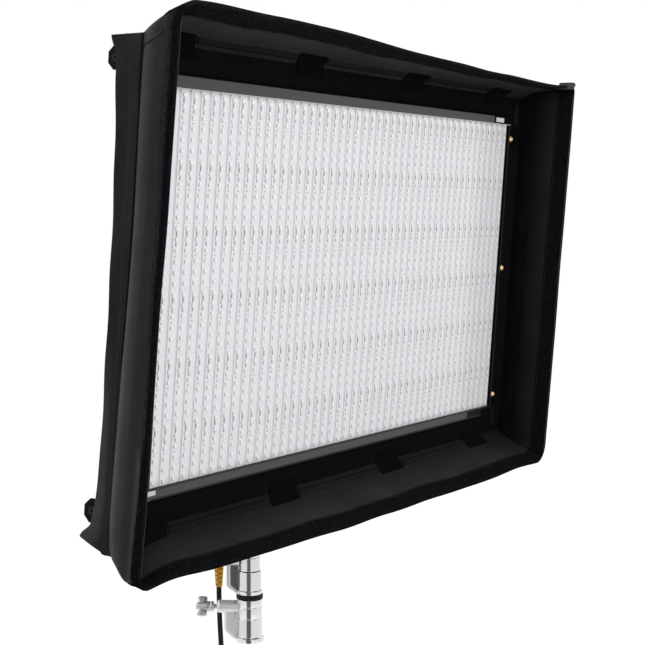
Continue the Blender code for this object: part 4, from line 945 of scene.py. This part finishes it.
fold = np.exp(-((rows - 0.30) / 0.07) ** 2) * ((tx == -1.0) * np.clip((0.2 - tz) / 1.0, 0, 1))[:, None]
front = np.exp(-((rows - 0.25) / 0.13) ** 2) * (np.abs(tx) == 1.0)[:, None] * np.clip(off / 0.03, 0, 1)[:, None]
puff = 0.0016 * crease + 0.0022 * fold + 0.0028 * front * np.clip(rows / 0.1, 0, 1)
drop = np.where((tx == -1.0) & ~top | (tx < -0.9) & ~top, np.exp(-(off / 0.05) ** 2), 0.0)[:, None]
top_left = ((top & (tx < -0.9)) * np.exp(-(off / 0.06) ** 2))[:, None]
sag = -0.020 * drop * (1 - rows ** 1.6) - 0.004 * top_left * (0.4 + rows)


def sleeve_face(inset):
    """The ring at one side of the cloth: the rectangle, puffed out, drawn in by the inset."""
    grow = np.maximum(puff - inset, -CLOTH)
    return np.stack([tx[:, None] * (SLEEVE_W + grow), y, tz[:, None] * (SLEEVE_H + grow) + sag], -1)


loop = np.concatenate([sleeve_face(0.0), sleeve_face(CLOTH)[:, ::-1]], 1)
steps_round = np.hypot(np.diff(tx * SLEEVE_W), np.diff(tz * SLEEVE_H))
around = np.concatenate([[0], np.cumsum(steps_round)])
walk = 0.004 * np.concatenate([np.arange(13), np.arange(13)[::-1]])
uv = np.stack(np.broadcast_arrays(around[:, None], walk[None, :]), -1)
depth = np.concatenate([rows, rows[::-1]])[None, :]
low = ((tx == -1.0) * ease((-tz - 0.1) / 0.6))[:, None]
# Painted shade on the sleeve: dark in the groove at its front, a painted highlight just behind it and on the rear of
# the lower left side, painted shade elsewhere.
shade = 0.25 + 0.75 * np.exp(-(depth / 0.03) ** 2) - 0.80 * np.exp(-((depth - 0.13) / 0.10) ** 2)
sleeve = piece("sleeve", on_head(loop), quads_of(4 * ARC, 26, True, True), NYLON, "head", "cloth_black", uv=uv,
               marks={"shade": shade - 2.0 * low * ease((depth - 0.45) / 0.35)})
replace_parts(sleeve, "skirt")
print("sleeve %.2f m round" % around[-1])

# %% [markdown]
# ## Hook tabs
# Tabs of hook tape hold the foot of the long walls to the rails: each lies on the rail and laps over the cloth, so
# it is a strip of the hood formula that starts on the rail and climbs the rounding at the foot of the wall. Between
# the tabs the cloth has a turned hem. On the short rails a square patch sits round the end studs.

# %% Hook tabs
LAP = np.array([(0.001, 0.0270), (0.001, 0.0120), (0.009, 0.0112), (0.035, 0.0074), (0.070, 0.0044), (0.110, 0.0022),
                (0.160, 0.0006)])
RISE = np.array([(0.012, 0.0), (0.012, 0.0003), (0.010, 0.0008), (0.006, 0.0011), (0.004, 0.0012), (0.002, 0.0012),
                 (0.0, 0.0012)])
# Painted shade on the hems between the tabs.
HEM_SHADE = 0.65
hem_levels = np.linspace(0.050, 0.125, 5)
for level in ("top", "bottom"):
    ends = []
    for number in range(1, 5):
        name = "hook_tab_%s_%d" % (level, number)
        low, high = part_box(name)
        span = (low.x / SLEEVE_W, high.x / SLEEVE_W)
        ends.append(span)
        under, over = ([(s, -CLOTH - d) for s, d in line] for line in (LAP, LAP + RISE))
        tab = along_side("tab_%s_%d" % (level, number), level, under, over, 14, HOOK, "loop_black", span)
        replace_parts(tab, name)
    ends.sort()
    for number, (left, right_tab) in enumerate(zip(ends[:-1], ends[1:])):
        under, over = ([(s, -CLOTH - c - d) for s, c in zip(hem_levels, cove(hem_levels))] for d in (0.0001, 0.0013))
        along_side("hem_%s_%d" % (level, number + 1), level, under, over, 40, NYLON, "cloth_black",
                   (left[1] + 0.006, right_tab[0] - 0.006), shade=HEM_SHADE)
for side, sign in (("left", -1), ("right", 1)):
    for number, z in enumerate((0.273, -0.276)):
        x0, x1 = sorted((sign * 0.6025, sign * 0.6400))
        plate("side_patch_%s_%d" % (side, number + 1), x0, x1, z - 0.024, z + 0.024, RAIL_FRONT - GAP, 0.0010, HOOK,
              "loop_black", 8, 8, 0.0004)
    x0, x1 = sorted((sign * 0.6060, sign * 0.6260))
    plate("side_strip_" + side, x0, x1, 0.300, 0.345, RAIL_FRONT - GAP, 0.0012, LUG, "cloth_black", 5, 8, 0.0006)
    x0, x1 = sorted((sign * 0.5920, sign * 0.6090))
    plate("side_strip_low_" + side, x0, x1, -0.345, -0.302, -0.0053, 0.0012, LUG, "cloth_black", 5, 8, 0.0006)
print("hook tabs: 8, hems: 6, patches: 4")

# %% [markdown]
# ## Stand collars
# Two polished castings. The body is a turned profile with grooves, the web a plate with rounded rims, the boss a
# second turned part lying along the clamp screw. They are overlapping shells in one mesh, like the lobes of one
# casting, and replace the sharper CAD solids.

# %% Collar shapes
HANDLE = math.radians(121.72)
LOWER_SCREW, UPPER_SCREW = 0.0658, 0.1552
LOWER_REACH, UPPER_REACH = 0.062, 0.057
BORE, WEB_HALF, BOSS_R = 0.0154, 0.0070, 0.0120
stand_turn = Matrix.Rotation(HANDLE, 4, "Z")


def along_screw(shell, level):
    """A part turned about Z is laid along the clamp screw at a level of the stand."""
    lie = Matrix.Rotation(math.radians(90), 4, "Y")
    return moved(shell, stand_turn @ Matrix.Translation((0, 0, level)) @ lie)


def groove(radius, level):
    """A shallow turned groove as (radius, height) points, bottom to top."""
    deep = radius - 0.0012
    return [(radius, level), (deep, level + 0.0006), (deep, level + 0.0014), (radius, level + 0.002)]


def casting(name, profile, web, rim, level, reach, painted_dark_reflection):
    """Body, web, rim and boss of one collar as shells of one mesh; flat web faces get a painted dark reflection by the
    given share; the rim, boss and a web without it are matt.
    """
    body = moved(turned(softened(profile, 0.0007, 3, True), 128, True), stand_turn)
    plate_shell = slab(softened(web, 0.0035, 5, True), WEB_HALF, 0.0030, 6)
    flat = np.abs(plate_shell[0][..., 1]) > WEB_HALF - 0.0002
    nose = BOSS_R - 0.0014
    boss = softened([(0.0, 0.019), (BOSS_R, 0.019), (BOSS_R, reach - 0.004), (nose, reach - 0.0025), (nose, reach),
                     (0.0054, reach), (0.0054, reach - 0.006), (0.0, reach - 0.006)], 0.0009, 4)
    rim_shell = slab(softened(rim, 0.0040, 5, True), WEB_HALF - 0.0022, 0.0020, 6)
    verts, faces = joined(body, moved(plate_shell, stand_turn), moved(rim_shell, stand_turn),
                          along_screw(turned(boss, 64), level))
    dark, matt = np.zeros(len(verts)), np.zeros(len(verts))
    first, last = len(body[0]), len(body[0]) + flat.size
    # The flat faces of the web carry the painted dark reflection.
    dark[first:last] = painted_dark_reflection * flat.ravel()
    matt[first:last] = 1.0 - painted_dark_reflection
    matt[last:] = 1.0
    marks = {"painted_dark_reflection": dark, "blast": matt}
    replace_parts(piece(name + "_casting", verts, faces, CAST, "stand", "cast_aluminium", marks=marks), name)


lower = [(BORE, 0.0), (0.0261, 0.0), (0.0273, 0.0012), (0.0273, 0.0092), (0.0234, 0.0104)]
lower += groove(0.0234, 0.0442) + groove(0.0234, 0.0662) + [(0.0234, 0.0808), (BORE, 0.0808)]
web = [(0.0188, 0.0065), (0.030, 0.0065), (0.046, 0.0215), (0.046, 0.0658), (0.0188, 0.0796)]
rim = [(0.0188, 0.0045), (0.0306, 0.0045), (0.0478, 0.0206), (0.0478, 0.0640), (0.0188, 0.0790)]
casting("lower_collar", lower, web, rim, LOWER_SCREW, LOWER_REACH, 0.0)
upper = [(BORE, 0.0912), (0.0241, 0.0912), (0.0241, 0.0978), (0.0220, 0.0990), (0.0220, 0.1343), (0.0195, 0.1355)]
upper += groove(0.0195, 0.1600) + [(0.0195, 0.1882), (0.0129, 0.1882), (0.0129, 0.1184), (BORE, 0.1174)]
web = [(0.0188, 0.0945), (0.024, 0.0945), (0.0385, 0.1065), (0.0385, 0.1552), (0.0188, 0.1672)]
rim = [(0.0188, 0.0918), (0.0262, 0.0918), (0.0440, 0.1045), (0.0440, 0.1530), (0.0188, 0.1690)]
casting("upper_collar", upper, web, rim, UPPER_SCREW, UPPER_REACH, 0.9)
print("castings: lower and upper collar")

# %% [markdown]
# The wing handles are cast and tumbled: a screw, a ribbed hub and two thick paddles. A paddle is a grid of
# superellipse sections that widen from the hub and close at the rounded tip.


# %% Wing handles
def box(v):
    """A sine or cosine pressed towards -1 and 1, which turns an ellipse into a rounded box."""
    return np.sign(v) * np.abs(v) ** 0.55


def paddle(root, tip, wide, thick):
    """A rounded paddle growing along X from root to tip; sections are superellipses, closed at both ends."""
    s = np.linspace(0, 1, 17)[:, None]
    a = (2 * np.pi * np.arange(32) / 32)[None, :]
    end = np.sqrt(np.clip(1 - np.clip((s - 0.72) / 0.28, 0, 1) ** 2, 0, 1)) * np.clip(s / 0.02, 0, 1)
    half_w = wide / 2 * (0.72 + 0.28 * np.sin(s * np.pi / 2)) * end
    half_t = thick / 2 * (1.0 - 0.22 * s) * end
    verts = np.stack([root + (tip - root) * s + 0 * a, half_t * box(np.sin(a)), half_w * box(np.cos(a))], -1)
    return verts, quads_of(17, 32, wrap_cols=True)


def wing_handle(name, level, tip, reach):
    """Screw with thread rings, ribbed hub and two paddles, about the clamp screw."""
    hub, wing = reach + 0.005, reach + 0.020
    end = wing + 0.020
    thread = np.linspace(tip, hub, 60)
    screw = np.column_stack([0.0046 + 0.0003 * np.cos(2 * np.pi * thread / 0.0016), thread])
    tail = softened([(0.0048, hub), (0.0086, hub + 0.0003), (0.0098, hub + 0.002), (0.0098, hub + 0.0055),
                     (0.0086, hub + 0.007), (0.0098, hub + 0.0085), (0.0100, wing), (0.0078, end - 0.003),
                     (0.0050, end), (0.0, end)], 0.0008)
    spine = turned(np.concatenate([[(0.0, tip)], screw, tail]), 48)
    middle = (wing - 0.003 + end - 0.0012) / 2
    shells = [along_screw(spine, level)]
    for flip in (0, math.pi):
        place = Matrix.Translation((0, 0, middle)) @ Matrix.Rotation(math.radians(35) + flip, 4, "Z")
        shells.append(along_screw(moved(paddle(0.004, 0.0200, 0.0205, 0.0125), place), level))
    handle = piece(name + "_wings", *joined(*shells), CAST_GREY, name, "cast_aluminium")
    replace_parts(handle, name)


wing_handle("lower_handle", LOWER_SCREW, 0.0153, LOWER_REACH)
wing_handle("upper_handle", UPPER_SCREW, 0.0128, UPPER_REACH)
print("wing handles: 2")

# %% [markdown]
# ## Back of the head, yoke and power supply
# The back is out of sight in the photograph. The panel has pressed beads against drumming and a row of rivets,
# the rails have screws at their ends, and the supply has cooling fins, a scale round its knob and cover screws.


# %% Beads, rivets and screws of the back
def bead(x, z0, z1, half, high):
    """A pressed bead on the back panel: half an ellipse across, faded out at both ends."""
    s, a = np.meshgrid(np.linspace(0, 1, 33), 2 * np.pi * np.arange(24) / 24, indexing="ij")
    fade = np.sqrt(np.clip(np.minimum(s, 1 - s) / 0.06, 0, 1))
    lift = high * np.maximum(np.cos(a), 0.0) * fade - 0.0002
    verts = np.stack([x + half * np.sin(a) * fade, PANEL_BACK + lift, z0 + (z1 - z0) * s], -1)
    return verts, quads_of(33, 24, False, True)


def on_back(name, profile, steps, places):
    """Small turned parts stood on the back of the head, all as one piece."""
    shells = [moved(turned(profile, steps), facing(p, (0, 1, 0))) for p in places]
    piece(name, *joined(*shells), ZINC, "head", "panel_aluminium")


shells = [bead(x, z0, z1, 0.010, 0.0035) for x in np.linspace(-0.50, 0.50, 6)
          for z0, z1 in ((-0.285, -0.070), (0.070, 0.285))]
verts, faces = joined(*shells)
piece("panel_beads", on_head(verts), faces, PANEL, "head", "panel_aluminium")
RIVET = softened([(0.0, 0.0016), (0.0020, 0.0012), (0.0032, 0.0), (0.0, -0.0002)], 0.0004)
on_back("panel_rivets", RIVET, 12, [(x, PANEL_BACK, z) for x in np.linspace(-0.585, 0.585, 14)
                                    for z in (-0.306, -0.055, 0.055, 0.306)])
SCREW = softened([(0.0, 0.0011), (0.0015, 0.0011), (0.0016, 0.0024), (0.0040, 0.0020), (0.0046, 0.0),
                  (0.0, -0.0002)], 0.0004)
on_back("frame_screws", SCREW, 24, [(sx * x, RAIL_BACK, sz * z) for sx in (-1, 1) for sz in (-1, 1)
                                    for x, z in ((0.590, 0.352), (0.590, 0.330), (0.540, 0.341))])
on_back("crossbar_screws", SCREW, 24, [(s * x, 0.0306, z) for s in (-1, 1) for x in (0.570, 0.205, 0.165)
                                       for z in (-0.025, 0.025)])
print("back of the head: beads, rivets, screws")

# %% Power supply trim
BACK = 0.144
fin_x = np.linspace(-0.090, 0.090, 19)
FIN = softened([(0.0, 0.0), (0.0105, 0.002), (0.0105, 0.088), (0.0, 0.090)], 0.002, 3, True)
fins = [moved(slab(FIN, 0.0013, 0.0005), Matrix.Translation((x, BACK - 0.0005, 0.204))
              @ Matrix.Rotation(math.pi / 2, 4, "Z")) for x in fin_x]
piece("supply_fins", *joined(*fins), PLASTIC, "yoke", "plastic_black")
screws = [moved(turned(SCREW, 24), Matrix.Translation((sx * 0.097, BACK, z)) @ Matrix.Rotation(-math.pi / 2, 4, "X"))
          for sx in (-1, 1) for z in (0.199, 0.394)]
piece("supply_screws", *joined(*screws), ZINC, "yoke", "panel_aluminium")
angle = np.radians(np.linspace(225, -45, 11))
ticks = np.stack([0.050 + 0.0205 * np.cos(angle), np.full(11, BACK + 0.0002), 0.332 + 0.0205 * np.sin(angle)], -1)
piece("dimmer_scale", *blocks(ticks, (0.0016, 0.0005, 0.0016)), TAG, "yoke", "board_white", smooth=False)
slots = np.stack(np.meshgrid([-0.1052, 0.1052], [0.104], np.linspace(0.220, 0.375, 12), indexing="ij"), -1)
piece("supply_vents", *blocks(slots, (0.0008, 0.050, 0.0045)), RUBBER, "yoke", "rubber_black", smooth=False)
print("power supply: fins, screws, scale and vents")

# %% [markdown]
# ## Light
# A white surround for the camera and for reflections, a softer level of it for diffuse light, one large soft
# lamp in front on the left, one on the right and one behind. A dark card beside the stand is seen only in
# reflections: it draws the dark stripe down the polished collars.


# %% World and floor
def white_rays(g):
    """1 for rays that should meet a white surround: from the camera, mirrored or through glass."""
    path = g.add("ShaderNodeLightPath").outputs
    seen = g.math("MAXIMUM", path["Is Camera Ray"], path["Is Glossy Ray"])
    return g.math("MAXIMUM", seen, path["Is Transmission Ray"])


scene.view_settings.view_transform = "Standard"
scene.world = bpy.data.worlds.new("studio")
scene.world.use_nodes = True
g = Graph(scene.world.node_tree)
strength = g.add("ShaderNodeMapRange", {0: white_rays(g), 3: 0.57, 4: 1.0}).outputs[0]
g.fill(g.tree.nodes["Background"], {"Color": (1, 1, 1, 1), "Strength": strength})

PALE, g, shader = material("floor_white", Roughness=0.9, Specular_IOR_Level=0.1, Base_Color=(0.86, 0.86, 0.86, 1))
lift = g.add("ShaderNodeEmission", {"Strength": g.math("MULTIPLY", white_rays(g), 0.52)})
both = g.add("ShaderNodeAddShader", {0: shader.outputs[0], 1: lift.outputs[0]})
g.link(both.outputs[0], g.tree.nodes["Material Output"].inputs["Surface"])


def stage_sheet(name, corners, mat):
    """A flat sheet of the studio, not part of the object."""
    mesh = bpy.data.meshes.new(name)
    mesh.from_pydata(corners, [], [(0, 1, 2, 3)])
    mesh.materials.append(mat)
    obj = bpy.data.objects.new(name, mesh)
    scene.collection.objects.link(obj)
    obj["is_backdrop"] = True
    return obj


FLOOR_Z = -1.25
stage_sheet("floor", [(-14, -14, FLOOR_Z), (14, -14, FLOOR_Z), (14, 14, FLOOR_Z), (-14, 14, FLOOR_Z)], PALE)
print("floor at z = %.2f m" % FLOOR_Z)

# %% Dark card and lamps
DARK, g, shader = material("card_grey")
glow = g.add("ShaderNodeEmission", {"Color": (0.13, 0.14, 0.155, 1)})
g.link(glow.outputs[0], g.tree.nodes["Material Output"].inputs["Surface"])
middle = Vector((-0.9024, -0.4301, 0.0)) * 0.80
across = Vector((0.4301, -0.9024, 0.0)) * 0.29
low_side, high_side = Vector((0, 0, -0.60)), Vector((0, 0, 0.20))
card = stage_sheet("card", [middle - across + low_side, middle + across + low_side, middle + across + high_side,
                            middle - across + high_side], DARK)
for ray in ("camera", "diffuse", "transmission", "volume_scatter", "shadow"):
    setattr(card, "visible_" + ray, False)


def lamp(name, place, aim, size, watts):
    """A square soft lamp looking at a point."""
    data = bpy.data.lights.new(name, "AREA")
    data.size, data.energy = size, watts
    obj = bpy.data.objects.new(name, data)
    obj.location = place
    obj.rotation_euler = (Vector(aim) - Vector(place)).to_track_quat("-Z", "Y").to_euler()
    scene.collection.objects.link(obj)


lamp("key", (-2.6, -3.2, 2.6), (0, -0.2, 0.7), 2.4, 72)
lamp("fill", (2.8, -2.6, 1.6), (0, -0.2, 0.7), 2.4, 30)
lamp("rear", (-1.8, 2.8, 2.4), (0, 0, 0.6), 2.0, 45)

# %% Sizes
low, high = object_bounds()
print("visual box", [round(v, 3) for v in high - low], "m")
